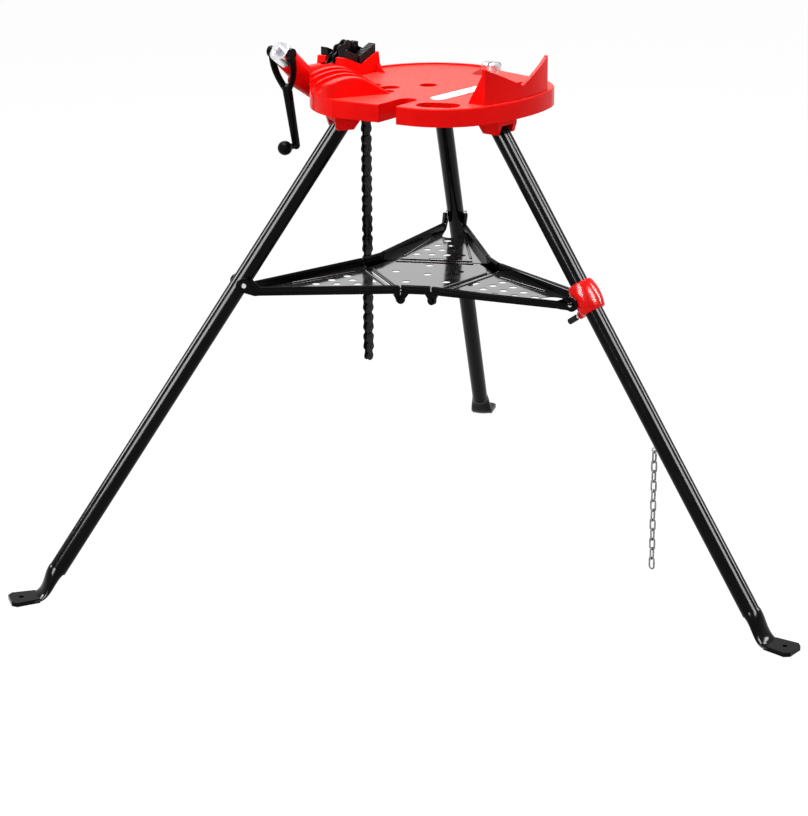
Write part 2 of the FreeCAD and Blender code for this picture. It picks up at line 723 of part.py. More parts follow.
def tray_plate():
    low = tray_height - tray_sheet
    radius_cut = []
    sheet = plan_prism(plate_outline(0), low, tray_height)
    shapes = []
    for azimuth in (30, 150, 270):
        seam = turned(box(tray_hinge_reach - tray_seam, tray_hinge_reach + 60, -150, 150, low - 5, tray_height + 30),
                      azimuth)
        radius_cut.append(seam)
        for lateral in (-tray_hinge_half + tray_knuckle + 0.6, tray_hinge_half - 2 * tray_knuckle - 0.6):
            shapes.append(turned(knuckle(-1, lateral, tray_knuckle, 20), azimuth))
        ridge = bead(Vector(tray_hinge_reach - 8, -70, tray_height - 0.6),
                     Vector(tray_hinge_reach - 8, 70, tray_height - 0.6), 2.6)
        shapes.append(turned(ridge, azimuth))
    corner_angle = plate_corner_angle()
    corner = math.hypot(tray_hinge_reach, tray_hinge_half)
    lip_reach = corner * math.cos(math.radians(60) - corner_angle)
    lip_half = corner * math.sin(math.radians(60) - corner_angle) - 3.5
    for azimuth in (90, 210, 330):
        lip = box(lip_reach - tray_sheet, lip_reach, -lip_half, lip_half, low, tray_height + tray_rail)
        shapes.append(turned(lip, azimuth))
    solid = fuse([sheet.cut(Part.makeCompound(radius_cut))] + shapes)
    holes = [Part.makeCylinder(tray_hole_radius, 20, Vector(0, 0, low - 5), Z)]
    for k in range(5):
        angle = math.radians(-36 + 72 * k)
        place = Vector(61 * math.cos(angle), 61 * math.sin(angle), low - 5)
        holes.append(Part.makeCylinder(tray_hole_radius, 20, place, Z))
    for azimuth in (30, 150, 270):
        for side in (-1, 1):
            start = Vector(tray_hinge_reach, side * (tray_hinge_half - 12), tray_hinge_height)
            holes.append(turned(Part.makeCylinder(tray_hinge_pin_radius, 24, start, Y * side), azimuth))
    return cut(solid, holes)


def tray_hinge_pins():
    """Six short pins with heads, two to each fold of the tray."""
    pins = []
    for azimuth in (30, 150, 270):
        for side in (-1, 1):
            start = Vector(tray_hinge_reach, side * (tray_hinge_half - 2 * tray_knuckle - 2.6), tray_hinge_height)
            shank = Part.makeCylinder(tray_hinge_pin_radius, 2 * tray_knuckle + 3.4, start, Y * side)
            head_at = Vector(tray_hinge_reach, side * (tray_hinge_half + 0.6), tray_hinge_height)
            head = Part.makeCylinder(tray_hinge_pin_radius + 2.2, 1.8, head_at, Y * side)
            pins.append(turned(fuse([shank, head]), azimuth))
    return pins


def wing(name):
    """Triangular leaf of the tray: sheet, two upright rails, hinge knuckles and leg ears."""
    low = tray_height - tray_sheet
    half_gap = ear_half_gap(name)
    tip_half = half_gap + tray_ear
    root = tray_hinge_reach + tray_seam
    pin_at = tray_pin_point(name)
    tip = pin_at.x - 28.0
    notch_end = pin_at.x - tray_notch
    high = tray_height + tray_rail
    slope = (tray_hinge_half - tip_half) / (tip - root)

    def outer_half(x):
        return tray_hinge_half - (x - root) * slope

    wedge = plan_prism([(root, -outer_half(root)), (tip, -tip_half), (tip, tip_half), (root, outer_half(root))],
                       low, high)
    hollow_half = tray_sheet / math.cos(math.atan(slope))
    hollow = plan_prism([(root - 5, -outer_half(root - 5) + hollow_half), (tip + 5, -outer_half(tip + 5) + hollow_half),
                         (tip + 5, outer_half(tip + 5) - hollow_half), (root - 5, outer_half(root - 5) - hollow_half)],
                        tray_height, high + 5)
    run = tip - notch_end
    open_tip = slot_prism((notch_end + half_gap + run / 2, 0), run / 2, half_gap, 0, low - 5, high + 5)
    solid = wedge.cut(hollow).cut(open_tip)
    shapes = [solid]
    for side in (-1, 1):
        near = side * half_gap
        ear = prism([(tip - 3, near, low), (tip - 3, near, high - 1), (pin_at.x - 4, near, pin_at.z + 12.4),
                     (pin_at.x + 9, near, pin_at.z - 9.4), (tip + 8, near, low)],
                    Y * (side * tray_ear))
        shapes.append(ear)
        shapes.append(Part.makeCylinder(tray_ear_radius, tray_ear, pin_at + Y * near, Y * side))
        lateral = tray_hinge_half - tray_knuckle if side > 0 else -tray_hinge_half
        shapes.append(knuckle(1, lateral, tray_knuckle, 14))
        foot_half = outer_half(root + 30) - 26
        ridge = bead(Vector(root + 30, side * foot_half, tray_height - 0.6),
                     Vector(notch_end - 20, side * (outer_half(notch_end - 20) - 12), tray_height - 0.6), 2.6)
        shapes.append(ridge)
    shapes.append(bead(Vector(root + 8, -66, tray_height - 0.6), Vector(root + 8, 66, tray_height - 0.6), 2.6))
    solid = fuse(shapes)
    holes = []
    for row in range(4):
        reach = 240 - 34 * row
        for k in range(row + 1):
            lateral = (k - row / 2) * 28
            holes.append(Part.makeCylinder(tray_hole_radius, 20, Vector(reach, lateral, low - 5), Z))
    holes.append(slot_prism((root + 17, 0), 10, 5, 90, low - 5, low + 15))
    for side in (-1, 1):
        near = side * half_gap
        holes.append(Part.makeCylinder(tray_pin_radius, tray_ear + 2, pin_at + Y * (near - side), Y * side))
        hinge = Vector(tray_hinge_reach, side * (tray_hinge_half - 8), tray_hinge_height)
        holes.append(Part.makeCylinder(tray_hinge_pin_radius + running_gap, 20, hinge, Y * side))
    return turned(cut(solid, holes), leg_azimuths[name])


def wing_rivets(name):
    """The two headed ends of the pivot pin, held by the wing's ears."""
    rivets = []
    near = ear_half_gap(name)
    outside = near + tray_ear
    pin_at = tray_pin_point(name)
    for side in (-1, 1):
        shank = rod(pin_at + Y * (side * near), pin_at + Y * (side * outside), tray_pin_radius)
        head = Part.makeCone(tray_pin_radius + 3.0, tray_pin_radius, 3.2, pin_at + Y * (side * outside), Y * side)
        rivets.append(turned(fuse([shank, head]), leg_azimuths[name]))
    return rivets


# ---------------------------------------------------------------- vise
def jaw(side):
    """V jaw: a bent bar with crosswise teeth, seated in the cheek's V."""
    half_channel = chain_channel / 2
    y0 = vise_y + side * half_channel
    thick = jaw_thickness
    w = jaw_half_width
    low = table_height + jaw_valley - jaw_depth
    high = table_height + jaw_valley
    profile = [(0, low), (w, low + jaw_rise * w / (jaw_half_width + 1)), (w, high + jaw_rise), (0, high),
               (-w, high + jaw_rise), (-w, low + jaw_rise * w / (jaw_half_width + 1))]
    bar = prism([(vise_x + x, y0, z) for x, z in profile], Y * (side * thick))
    grooves = []
    steps = 9
    slope = jaw_rise / w
    for k in range(steps):
        for hand in (-1, 1):
            x = hand * (k + 0.75) * w / (steps + 0.2)
            z = high + abs(x) * slope
            tooth = [(x - 1.7, z - 1.7 * hand * slope + 0.3), (x + 1.7, z + 1.7 * hand * slope + 0.3), (x, z - 2.2)]
            grooves.append(prism([(vise_x + a, y0 - side, b) for a, b in tooth], Y * (side * (thick + 2))))
    bore = Part.makeCylinder(3.5, thick + 2, Vector(vise_x, y0 - side, high - 7.5), Y * side)
    return cut(bar, grooves + [bore])


def jaw_screws():
    """One round-headed screw through the middle of each jaw's face."""
    screws = []
    for side in (-1, 1):
        y0 = vise_y + side * chain_channel / 2
        centre = Vector(vise_x, y0, table_height + jaw_valley - 7.5)
        shank = Part.makeCylinder(3.5, jaw_thickness, centre, Y * side)
        head = Part.makeCylinder(5.5, 2.4, centre + Y * (side * jaw_thickness), Y * side)
        screws.append(fuse([shank, head]))
    return screws


def chain_screw():
    """Screw that draws the chain: plain shank, with a flat eye at its lower end."""
    body = rod(barrel_point(-cap_length / 2 - 5), barrel_point(50), screw_radius)
    eye_at = barrel_point(eye_distance)
    tang = rod(eye_at - Y * (chain_inner / 2 - 0.3), eye_at + Y * (chain_inner / 2 - 0.3), 7.0)
    neck_box = Part.makeBox(30, chain_inner - 0.6, 11, Vector(-15, -chain_inner / 2 + 0.3, -5.5))
    neck_box.Placement = Placement(barrel_point(eye_distance - 14), Rotation(Y, barrel_tilt)).multiply(
        neck_box.Placement)
    hole = rod(eye_at - Y * 10, eye_at + Y * 10, chain_pin_radius + 0.05)
    return fuse([body, neck_box, tang]).cut(hole)


eye_distance = 72.0


def crank_nut():
    """Bright round nut that turns on the barrel's end, with two side pins for the fork."""
    start = barrel_point(cap_length / 2)
    body = Part.makeCylinder(cap_radius, cap_length, start, barrel_dir)
    rim = [e for e in body.Edges if e.CenterOfMass.distanceToPoint(barrel_point(-cap_length / 2)) < 1
           and len(e.Vertexes) == 1]
    body = body.makeFillet(3.0, rim)
    dish = rod(barrel_point(-cap_length / 2 + 3), barrel_point(-cap_length / 2 - 2), cap_radius - 7)
    bore = rod(barrel_point(40), barrel_point(-40), screw_radius + running_gap)
    solid = body.cut(dish).cut(bore)
    side_bores = [Part.makeCylinder(5.0, 10, cap_centre + Y * (side * (cap_radius - 9)), Y * side)
                  for side in (-1, 1)]
    return cut(solid, side_bores)


def thrust_washer():
    start = barrel_point(cap_length / 2 + 3.0)
    disc = Part.makeCylinder(cap_radius - 3, 2.7, start, barrel_dir)
    bore = rod(barrel_point(40), barrel_point(0), screw_radius + 0.5)
    return disc.cut(bore)


def fork_pins():
    """Two pins pressed in the nut, on which the handle's fork swings."""
    pins = []
    for side in (-1, 1):
        start = cap_centre + Y * (side * (cap_radius - 9))
        pins.append(Part.makeCylinder(5.0, 9 + 8.4, start, Y * side))
    return pins


def crank_handle():
    """Forked lever, drawn hanging straight down from the origin, then tilted and placed."""
    inner = cap_radius + 1.0
    arm = 7.0
    shapes = []
    bore = []
    for side in (-1, 1):
        eye = Part.makeCylinder(10, arm, Vector(0, side * inner, 0), Y * side)
        shapes.append(eye)
        bore.append(Part.makeCylinder(5.0 + running_gap, arm + 4, Vector(0, side * (inner - 2), 0), Y * side))
        sections = []
        for z, y, half_y, half_x in ((0, inner + arm / 2, arm / 2, 8), (-22, inner + arm / 2, 3.6, 8),
                                     (-40, inner - 1, 4.4, 7.5), (-56, 14, 6.0, 7), (-70, 3, 7.0, 7)):
            ring = Part.Ellipse(Vector(0, 0, 0), max(half_x, half_y), min(half_x, half_y)).toShape()
            turn = Rotation(Z, 90 if half_y > half_x else 0)
            ring.Placement = Placement(Vector(0, side * y, z), turn)
            sections.append(Part.Wire([ring]))
        shapes.append(Part.makeLoft(sections, True, False))
    shaft_top = Vector(0, 0, -60)
    shaft_low = Vector(0, 0, -handle_length)
    shapes.append(Part.makeCone(9.5, 7.5, handle_length - 60, shaft_top, -Z))
    shapes.append(Part.makeSphere(7.5, shaft_low))
    shapes.append(rod(shaft_low, shaft_low + Vector(-20, 0, 4), 5.5))
    solid = cut(fuse(shapes), bore)
    solid = solid.cut(rod(Vector(0, -inner, 0), Vector(0, inner, 0), 14))
    solid.Placement = Placement(cap_centre, Rotation(Y, -handle_tilt)).multiply(solid.Placement)
    return solid


def handle_knob():
    centre = Vector(-29, 0, -handle_length + 5.8)
    ball = Part.makeSphere(knob_radius, centre, Y)
    stem = rod(Vector(0, 0, -handle_length), Vector(-20, 0, -handle_length + 4) - X * body_gap, 5.5 + running_gap)
    ball = ball.cut(stem)
    ball.Placement = Placement(cap_centre, Rotation(Y, -handle_tilt)).multiply(ball.Placement)
    return ball


# ---------------------------------------------------------------- vise chain
def chain_joints():
    """Pin centres of the whole chain, from the screw's eye to its free end."""
    points = [barrel_point(eye_distance)]
    angles = list(chain_lead_angles) + [-90] * chain_hanging_links
    for degrees in angles:
        a = math.radians(degrees)
        points.append(points[-1] + Vector(chain_pitch * math.cos(a), 0, chain_pitch * math.sin(a)))
    return points


def link_plate(a, b, y, thickness):
    """Waisted side plate between two pin centres."""
    along = (b - a).normalize()
    up = Vector(-along.z, 0, along.x)
    r = chain_plate_radius
    base = Vector(0, y, 0)

    def at(u, v):
        return a + along * u + up * v + base

    rounding = [math.radians(t) for t in (-90, -45, 0, 45, 90)]
    outline = [at(-r * math.cos(t), r * math.sin(t)) for t in rounding]
    outline.append(at(chain_pitch / 2, chain_waist * r))
    outline += [at(chain_pitch + r * math.cos(t), r * math.sin(t)) for t in reversed(rounding)]
    outline.append(at(chain_pitch / 2, -chain_waist * r))
    return prism([tuple(q) for q in outline], Y * thickness)


def inner_link(a, b):
    """Two plates close in on two rollers that turn on the outer links' pins."""
    half = chain_inner / 2
    shapes = [link_plate(a, b, half, chain_plate), link_plate(a, b, -half - chain_plate, chain_plate)]
    holes = []
    for p in (a, b):
        shapes.append(rod(p - Y * (half + 0.5), p + Y * (half + 0.5), 5.6))
        holes.append(rod(p - Y * 10, p + Y * 10, chain_pin_radius + 0.05))
    return fuse(shapes).cut(Part.makeCompound(holes))


def outer_link(a, b):
    """Two plates outside the inner links, riveted to two pins."""
    near = chain_inner / 2 + chain_plate + 0.15
    far = near + chain_plate
    shapes = [link_plate(a, b, near, chain_plate), link_plate(a, b, -far, chain_plate)]
    for p in (a, b):
        shapes.append(rod(p - Y * (far + 0.9), p + Y * (far + 0.9), chain_pin_radius))
    return fuse(shapes)


def chain_sections():
    """Groups of links: the first rides with the screw, the others hang from one another."""
    joints = chain_joints()
    counts = [len(chain_lead_angles) + chain_section_links[0]] + list(chain_section_links[1:])
    groups = []
    index = 0
    for count in counts:
        links = []
        for k in range(index, index + count):
            make = outer_link if k % 2 == 0 else inner_link
            links.append(make(joints[k], joints[k + 1]))
        groups.append(links)
        index += count
    return groups


# ---------------------------------------------------------------- ceiling brace screw
def brace_screw():
    low = Vector(brace_x, brace_y, skirt_bottom - 16)
    shank_top = table_height + brace_head_height - 14
    shank = Part.makeCylinder(brace_shank_radius, shank_top - low.z + 1, low, Z)
    neck = Part.makeCylinder(brace_shank_radius + 1.5, 16, Vector(brace_x, brace_y, table_height - 0.0 - 12.6), Z)
    head = Part.makeCylinder(brace_head_radius, 14, Vector(brace_x, brace_y, shank_top), Z)
    rim = [e for e in head.Edges if e.BoundBox.ZMin > shank_top + 13.9]
    head = head.makeFillet(5.0, rim)
    base = [e for e in head.Edges if e.BoundBox.ZMax < shank_top + 0.1]
    head = head.makeFillet(1.5, base)
    solid = fuse([shank, neck, head])
    slots = []
    for azimuth in (20, 110):
        slot = box(-30, 30, -2.0, 2.0, 0, 10)
        slot.rotate(Vector(0, 0, 0), Z, azimuth)
        slot.translate(Vector(brace_x, brace_y, shank_top + 9))
        slots.append(slot)
    return cut(solid, slots)


# ---------------------------------------------------------------- tie chain on the front leg
def tie_eye_point():
    return leg_point(tie_along_leg) - Vector(math.cos(splay), 0, math.sin(splay)) * (tube_radius + 7.0)


def tie_eye():
    """Small eye fixed to the inner side of the front leg."""
    normal = Vector(-math.cos(splay), 0, -math.sin(splay))
    foot = leg_point(tie_along_leg) + normal * (tube_radius - 1.0)
    ring = Part.makeTorus(4.6, tie_wire, tie_eye_point(), Y)
    stem = rod(foot, foot + normal * 3.6, 2.2)
    eye = fuse([ring, stem])
    tube = rod(leg_point(0), leg_point(900), tube_radius)
    return turned(eye.cut(tube), leg_azimuths["front"])


def tie_link(top, flip):
    """Oval wire link hanging with its upper bend at top."""
    r = 4.6
    straight = tie_pitch - 2 * (r - tie_wire) + body_gap / 2
    upper = Vector(0, 0, 0)
    path = [Part.Arc(Vector(-r, 0, 0), Vector(0, 0, r), Vector(r, 0, 0)).toShape(),
            Part.LineSegment(Vector(r, 0, 0), Vector(r, 0, -straight)).toShape(),
            Part.Arc(Vector(r, 0, -straight), Vector(0, 0, -straight - r), Vector(-r, 0, -straight)).toShape(),
            Part.LineSegment(Vector(-r, 0, -straight), Vector(-r, 0, 0)).toShape()]
    corners = [math.radians(60 * k) for k in range(6)]
    ring = [Vector(r + tie_wire * math.cos(t), tie_wire * math.sin(t), 0) for t in corners]
    ring = Part.makePolygon(ring + [ring[0]])
    link = Part.Wire(path[1:] + path[:1]).makePipeShell([ring], True, True)
    if flip:
        link.rotate(upper, Z, 90)
    link.translate(top - Z * (r - tie_wire))
    return link


def tie_chain():
    """Two hanging lengths of oval links."""
    links = []
    top = tie_eye_point() - Z * (4.6 - tie_wire - body_gap)
    for k in range(tie_links):
        link = tie_link(top - Z * (k * tie_pitch), k % 2 == 0)
        links.append(turned(link, leg_azimuths["front"]))
    half = tie_links // 2
    return links[:half], links[half:]


# ---------------------------------------------------------------- assembly
def build():
    nodes = {"table_casting": [table_casting()]}
    nodes["leg_hinge_pins"] = leg_hinge_pins()
    for name in leg_azimuths:
        nodes["leg_" + name] = [leg_tube(name)]
        nodes["tray_pivot_pin_" + name] = tray_pin(name)
        nodes["tray_wing_" + name] = [wing(name)]
        nodes["wing_rivets_" + name] = wing_rivets(name)
    nodes["leg_collar"] = [collar()]
    nodes["tray_plate"] = [tray_plate()]
    nodes["tray_hinge_pins"] = tray_hinge_pins()
    stem, grip = lock_plunger()
    nodes["lock_plunger"] = [stem]
    nodes["plunger_grip"] = [grip]
    nodes["front_jaw"] = [jaw(-1)]
    nodes["rear_jaw"] = [jaw(1)]
    nodes["jaw_screws"] = jaw_screws()
    nodes["chain_screw"] = [chain_screw()]
    nodes["crank_nut"] = [crank_nut()]
    nodes["thrust_washer"] = [thrust_washer()]
    nodes["fork_pins"] = fork_pins()
    nodes["crank_handle"] = [crank_handle()]
    nodes["handle_knob"] = [handle_knob()]
    for k, links in enumerate(chain_sections()):
        nodes["vise_chain_%d" % (k + 1)] = links
    nodes["brace_screw"] = [brace_screw()]
    nodes["tie_eye"] = [tie_eye()]
    upper, lower = tie_chain()
    nodes["tie_chain_upper"] = upper
    nodes["tie_chain_lower"] = lower
    return nodes


def footprint_shift(nodes):
    """Move along Y that brings the middle of the footprint to the origin."""
    boxes = [s.optimalBoundingBox() for shapes in nodes.values() for s in shapes]
    return -(min(b.YMin for b in boxes) + max(b.YMax for b in boxes)) / 2


os.makedirs("parts", exist_ok=True)
all_nodes = build()
shift_y = footprint_shift(all_nodes)
print("shift along Y", round(shift_y, 3))
for node, shapes in all_nodes.items():
    group = shapes[0] if len(shapes) == 1 else Part.makeCompound(shapes)
    group.translate(Vector(0, shift_y, 0))
    group.exportStep("parts/" + node + ".step")
    print(node, len(group.Solids), round(group.Volume), group.isValid())
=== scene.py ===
import json
import math

import bmesh
import bpy
from mathutils import Matrix, Vector

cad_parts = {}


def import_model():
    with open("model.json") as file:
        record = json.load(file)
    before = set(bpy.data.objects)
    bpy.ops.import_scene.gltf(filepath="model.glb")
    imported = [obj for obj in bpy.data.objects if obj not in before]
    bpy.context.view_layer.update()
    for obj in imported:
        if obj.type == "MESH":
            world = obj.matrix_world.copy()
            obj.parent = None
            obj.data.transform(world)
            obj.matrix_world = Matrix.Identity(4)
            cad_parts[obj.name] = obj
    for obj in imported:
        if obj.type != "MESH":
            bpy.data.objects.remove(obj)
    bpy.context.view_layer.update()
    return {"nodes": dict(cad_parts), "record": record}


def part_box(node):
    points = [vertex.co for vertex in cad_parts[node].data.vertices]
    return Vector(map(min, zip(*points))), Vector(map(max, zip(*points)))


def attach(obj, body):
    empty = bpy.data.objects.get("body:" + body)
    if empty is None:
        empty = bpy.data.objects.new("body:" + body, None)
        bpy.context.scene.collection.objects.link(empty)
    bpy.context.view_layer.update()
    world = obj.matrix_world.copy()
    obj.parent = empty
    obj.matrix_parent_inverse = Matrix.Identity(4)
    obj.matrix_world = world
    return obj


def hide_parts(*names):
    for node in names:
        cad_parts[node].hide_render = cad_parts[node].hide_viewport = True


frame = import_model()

nodes = frame["nodes"]
record = frame["record"]

# ------------------------------------------------------------------ sizes, in metres
joints = {joint["name"]: joint for joint in record["behaviour"]["joints"]}
top_above_pins = 0.028
front_pin_to_middle = 0.1432
table_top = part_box("leg_hinge_pins")[1].z + top_above_pins
middle_y = joints["leg_front_fold"]["pos_m"][1] + front_pin_to_middle

# The first links of the vise chain slope by these degrees over the jaws, and the rest hang.
# The lengths count the hanging links on each of the chain's bodies.
chain_pitch = 0.01905
chain_eye_distance = 0.072
chain_lead = (-20, 0, 5, 35, 50, 45, 20, -15, -40, -55, -68, -78)
chain_hanging = 28
chain_lengths = (2, 5, 5, 4, 4, 4, 4)
tie_pitch = 0.0176
tie_links = 12
tie_turn = math.radians(270)
crank_narrowing = 0.86
cap_outer_share = 0.62

# The tray's solids are found by their levels and holes, and its sheet is thinned from below.
tray_above_wing_pins = 0.012
tray_sheet = 0.0025
rail_height = 0.013
tray_top = joints["wing_front_fold"]["pos_m"][2] + tray_above_wing_pins
tray_bottom = tray_top - tray_sheet
rail_top = tray_top + rail_height
sheet_saving = 0.0013
hole_radius = 0.006
hole_growth = 1.25
first_hole_out = 0.240
hole_row_step = 0.034
hole_step = 0.028
hole_rows = 4
deck_ring_radius = 0.061
roll_below_rail = 0.002
lip_depth = 0.003
lip_growth = 0.0028
rivet_radius = 0.0044
same_place = 0.0001
near_sheet = 0.0002
near_hole = 0.0003


# ------------------------------------------------------------------ shader groups
def new_group(name, inputs, outputs):
    """Shader node group with a place and float inputs, given with its two end nodes."""
    tree = bpy.data.node_groups.new(name, "ShaderNodeTree")
    tree.interface.new_socket("Place", in_out="INPUT", socket_type="NodeSocketVector")
    for label, value in inputs:
        socket = tree.interface.new_socket(label, in_out="INPUT", socket_type="NodeSocketFloat")
        socket.default_value = value
    for label, kind in outputs:
        tree.interface.new_socket(label, in_out="OUTPUT", socket_type=kind)
    return tree, tree.nodes.new("NodeGroupInput"), tree.nodes.new("NodeGroupOutput")


def noise(tree, place, scale, detail, rough=0.5):
    node = tree.nodes.new("ShaderNodeTexNoise")
    node.inputs["Detail"].default_value = detail
    node.inputs["Roughness"].default_value = rough
    tree.links.new(place, node.inputs["Vector"])
    if isinstance(scale, (int, float)):
        node.inputs["Scale"].default_value = scale
    else:
        tree.links.new(scale, node.inputs["Scale"])
    return node


def ramp(tree, value, low, high, to_low=0.0, to_high=1.0):
    node = tree.nodes.new("ShaderNodeMapRange")
    node.inputs["From Min"].default_value = low
    node.inputs["From Max"].default_value = high
    node.inputs["To Min"].default_value = to_low
    node.inputs["To Max"].default_value = to_high
    tree.links.new(value, node.inputs["Value"])
    return node.outputs["Result"]


def maths(tree, kind, a, b):
    node = tree.nodes.new("ShaderNodeMath")
    node.operation = kind
    for slot, value in enumerate((a, b)):
        if isinstance(value, (int, float)):
            node.inputs[slot].default_value = value
        else:
            tree.links.new(value, node.inputs[slot])
    return node.outputs[0]


def enamel_skin():
    """Sprayed paint: orange peel height, cloudy tone and patches of duller gloss."""
    tree, given, out = new_group("enamel_skin", [("Peel Scale", 260.0), ("Cloud Scale", 9.0)],
                                 [("Height", "NodeSocketFloat"), ("Tone", "NodeSocketFloat"),
                                  ("Dullness", "NodeSocketFloat")])
    peel = noise(tree, given.outputs["Place"], given.outputs["Peel Scale"], 2.0)
    cloud = noise(tree, given.outputs["Place"], given.outputs["Cloud Scale"], 4.0)
    dull = noise(tree, given.outputs["Place"], 31.0, 5.0, 0.6)
    tree.links.new(peel.outputs["Fac"], out.inputs["Height"])
    tree.links.new(ramp(tree, cloud.outputs["Fac"], 0.3, 0.7), out.inputs["Tone"])
    tree.links.new(ramp(tree, dull.outputs["Fac"], 0.42, 0.72), out.inputs["Dullness"])
    return tree


def cast_grain():
    """Sand-cast surface under paint: fine pits and low lumps, strongest on level faces, with a pale
    speckle on level faces as painted sheen.
    """
    tree, given, out = new_group("cast_grain", [("Pit Scale", 420.0), ("Lump Scale", 70.0)],
                                 [("Height", "NodeSocketFloat"), ("Speckle", "NodeSocketFloat")])
    pits = noise(tree, given.outputs["Place"], given.outputs["Pit Scale"], 3.0, 0.7)
    lumps = noise(tree, given.outputs["Place"], given.outputs["Lump Scale"], 2.0)
    facing = tree.nodes.new("ShaderNodeNewGeometry")
    split = tree.nodes.new("ShaderNodeSeparateXYZ")
    tree.links.new(facing.outputs["Normal"], split.inputs[0])
    level = ramp(tree, split.outputs["Z"], 0.9, 0.99, 0.05, 1.0)
    total = maths(tree, "MULTIPLY_ADD", pits.outputs["Fac"], 0.8)
    tree.links.new(lumps.outputs["Fac"], total.node.inputs[2])
    tree.links.new(maths(tree, "MULTIPLY", total, level), out.inputs["Height"])
    # Pale speckle only on level faces: painted sheen that makes the top lighter than the sides. The same
    # mask also varies the roughness.
    grain_sheen_speckle = ramp(tree, pits.outputs["Fac"], 0.38, 0.66)
    tree.links.new(maths(tree, "MULTIPLY", grain_sheen_speckle, level), out.inputs["Speckle"])
    return tree


def metal_brushing():
    """Fine scratches along one direction and blotches of handling."""
    tree, given, out = new_group("metal_brushing", [("Fineness", 900.0), ("Blotch Scale", 40.0)],
                                 [("Height", "NodeSocketFloat"), ("Blotch", "NodeSocketFloat")])
    stretch = tree.nodes.new("ShaderNodeMapping")
    stretch.inputs["Scale"].default_value = (1.0, 1.0, 0.06)
    tree.links.new(given.outputs["Place"], stretch.inputs["Vector"])
    lines = noise(tree, stretch.outputs[0], given.outputs["Fineness"], 3.0)
    blotch = noise(tree, given.outputs["Place"], given.outputs["Blotch Scale"], 4.0, 0.6)
    tree.links.new(lines.outputs["Fac"], out.inputs["Height"])
    tree.links.new(ramp(tree, blotch.outputs["Fac"], 0.35, 0.7), out.inputs["Blotch"])
    return tree


groups = {"skin": enamel_skin(), "grain": cast_grain(), "brush": metal_brushing()}


# ------------------------------------------------------------------ materials
class Finish:
    """A material under construction: its tree, shader and object coordinates."""

    def __init__(self, name):
        self.material = bpy.data.materials.new(name)
        self.material.use_nodes = True
        self.tree = self.material.node_tree
        self.shader = self.tree.nodes["Principled BSDF"]
        self.place = self.tree.nodes.new("ShaderNodeTexCoord").outputs["Object"]

    def set(self, **values):
        for label, value in values.items():
            self.shader.inputs[label.replace("_", " ")].default_value = value
        return self

    def group(self, key, **values):
        node = self.tree.nodes.new("ShaderNodeGroup")
        node.node_tree = groups[key]
        self.tree.links.new(self.place, node.inputs["Place"])
        for label, value in values.items():
            node.inputs[label.replace("_", " ")].default_value = value
        return node.outputs

    def blend(self, factor, first, second):
        """Base colour between two colours."""
        mix = self.tree.nodes.new("ShaderNodeMix")
        mix.data_type = "RGBA"
        self.tree.links.new(factor, mix.inputs[0])
        for slot, colour in ((6, first), (7, second)):
            if isinstance(colour, tuple):
                mix.inputs[slot].default_value = (*colour, 1.0)
            else:
                self.tree.links.new(colour, mix.inputs[slot])
        self.tree.links.new(mix.outputs[2], self.shader.inputs["Base Color"])
        return mix.outputs[2]

    def vary(self, label, value, low, high):
        self.tree.links.new(ramp(self.tree, value, 0.0, 1.0, low, high), self.shader.inputs[label])

    def bump(self, height, distance, strength=1.0):
        node = self.tree.nodes.new("ShaderNodeBump")
        node.inputs["Strength"].default_value = strength
        node.inputs["Distance"].default_value = distance
        self.tree.links.new(height, node.inputs["Height"])
        previous = self.shader.inputs["Normal"].links
        if previous:
            self.tree.links.new(previous[0].from_socket, node.inputs["Normal"])
        self.tree.links.new(node.outputs["Normal"], self.shader.inputs["Normal"])


def red_casting():
    finish = Finish("red_casting").set(Specular_IOR_Level=0.05)
    skin = finish.group("skin", Peel_Scale=180.0)
    grain = finish.group("grain")
    base = finish.blend(skin["Tone"], (0.66, 0.0015, 0.0012), (0.80, 0.003, 0.0022))
    # The pale colour on level faces is painted sheen of the top, not a colour of the casting.
    finish.blend(grain["Speckle"], base, (0.93, 0.09, 0.068))
    finish.vary("Roughness", grain["Speckle"], 0.24, 0.46)
    finish.bump(grain["Height"], 0.0006, 0.8)
    return finish.material


def red_gloss():
    finish = Finish("red_gloss").set(Specular_IOR_Level=0.09)
    skin = finish.group("skin", Peel_Scale=320.0)
    finish.blend(skin["Tone"], (0.60, 0.0018, 0.0015), (0.74, 0.003, 0.0025))
    finish.vary("Roughness", skin["Dullness"], 0.16, 0.24)
    finish.bump(skin["Height"], 0.00005, 0.15)
    return finish.material


def black_gloss():
    finish = Finish("black_gloss").set(Specular_IOR_Level=0.055)
    skin = finish.group("skin", Peel_Scale=240.0)
    finish.blend(skin["Tone"], (0.0012, 0.0012, 0.0014), (0.003, 0.003, 0.0034))
    finish.vary("Roughness", skin["Dullness"], 0.12, 0.2)
    finish.bump(skin["Height"], 0.0001, 0.2)
    return finish.material


def tray_enamel():
    finish = Finish("tray_enamel").set(Specular_IOR_Level=0.7, Coat_Weight=1.0, Coat_Roughness=0.08)
    skin = finish.group("skin", Peel_Scale=200.0, Cloud_Scale=14.0)
    finish.blend(skin["Tone"], (0.012, 0.013, 0.013), (0.026, 0.028, 0.028))
    finish.vary("Roughness", skin["Dullness"], 0.10, 0.2)
    finish.bump(skin["Height"], 0.0001, 0.25)
    return finish.material


def bright_chrome():
    finish = Finish("bright_chrome").set(Metallic=1.0)
    brush = finish.group("brush", Fineness=500.0)
    finish.blend(brush["Blotch"], (0.80, 0.80, 0.82), (0.68, 0.68, 0.70))
    finish.vary("Roughness", brush["Blotch"], 0.08, 0.2)
    finish.bump(brush["Height"], 0.00008, 0.3)
    return finish.material


def zinc_plate():
    finish = Finish("zinc_plate").set(Metallic=1.0)
    brush = finish.group("brush", Fineness=700.0)
    finish.blend(brush["Blotch"], (0.72, 0.73, 0.75), (0.50, 0.51, 0.54))
    finish.vary("Roughness", brush["Blotch"], 0.2, 0.36)
    finish.bump(brush["Height"], 0.0001, 0.4)
    return finish.material


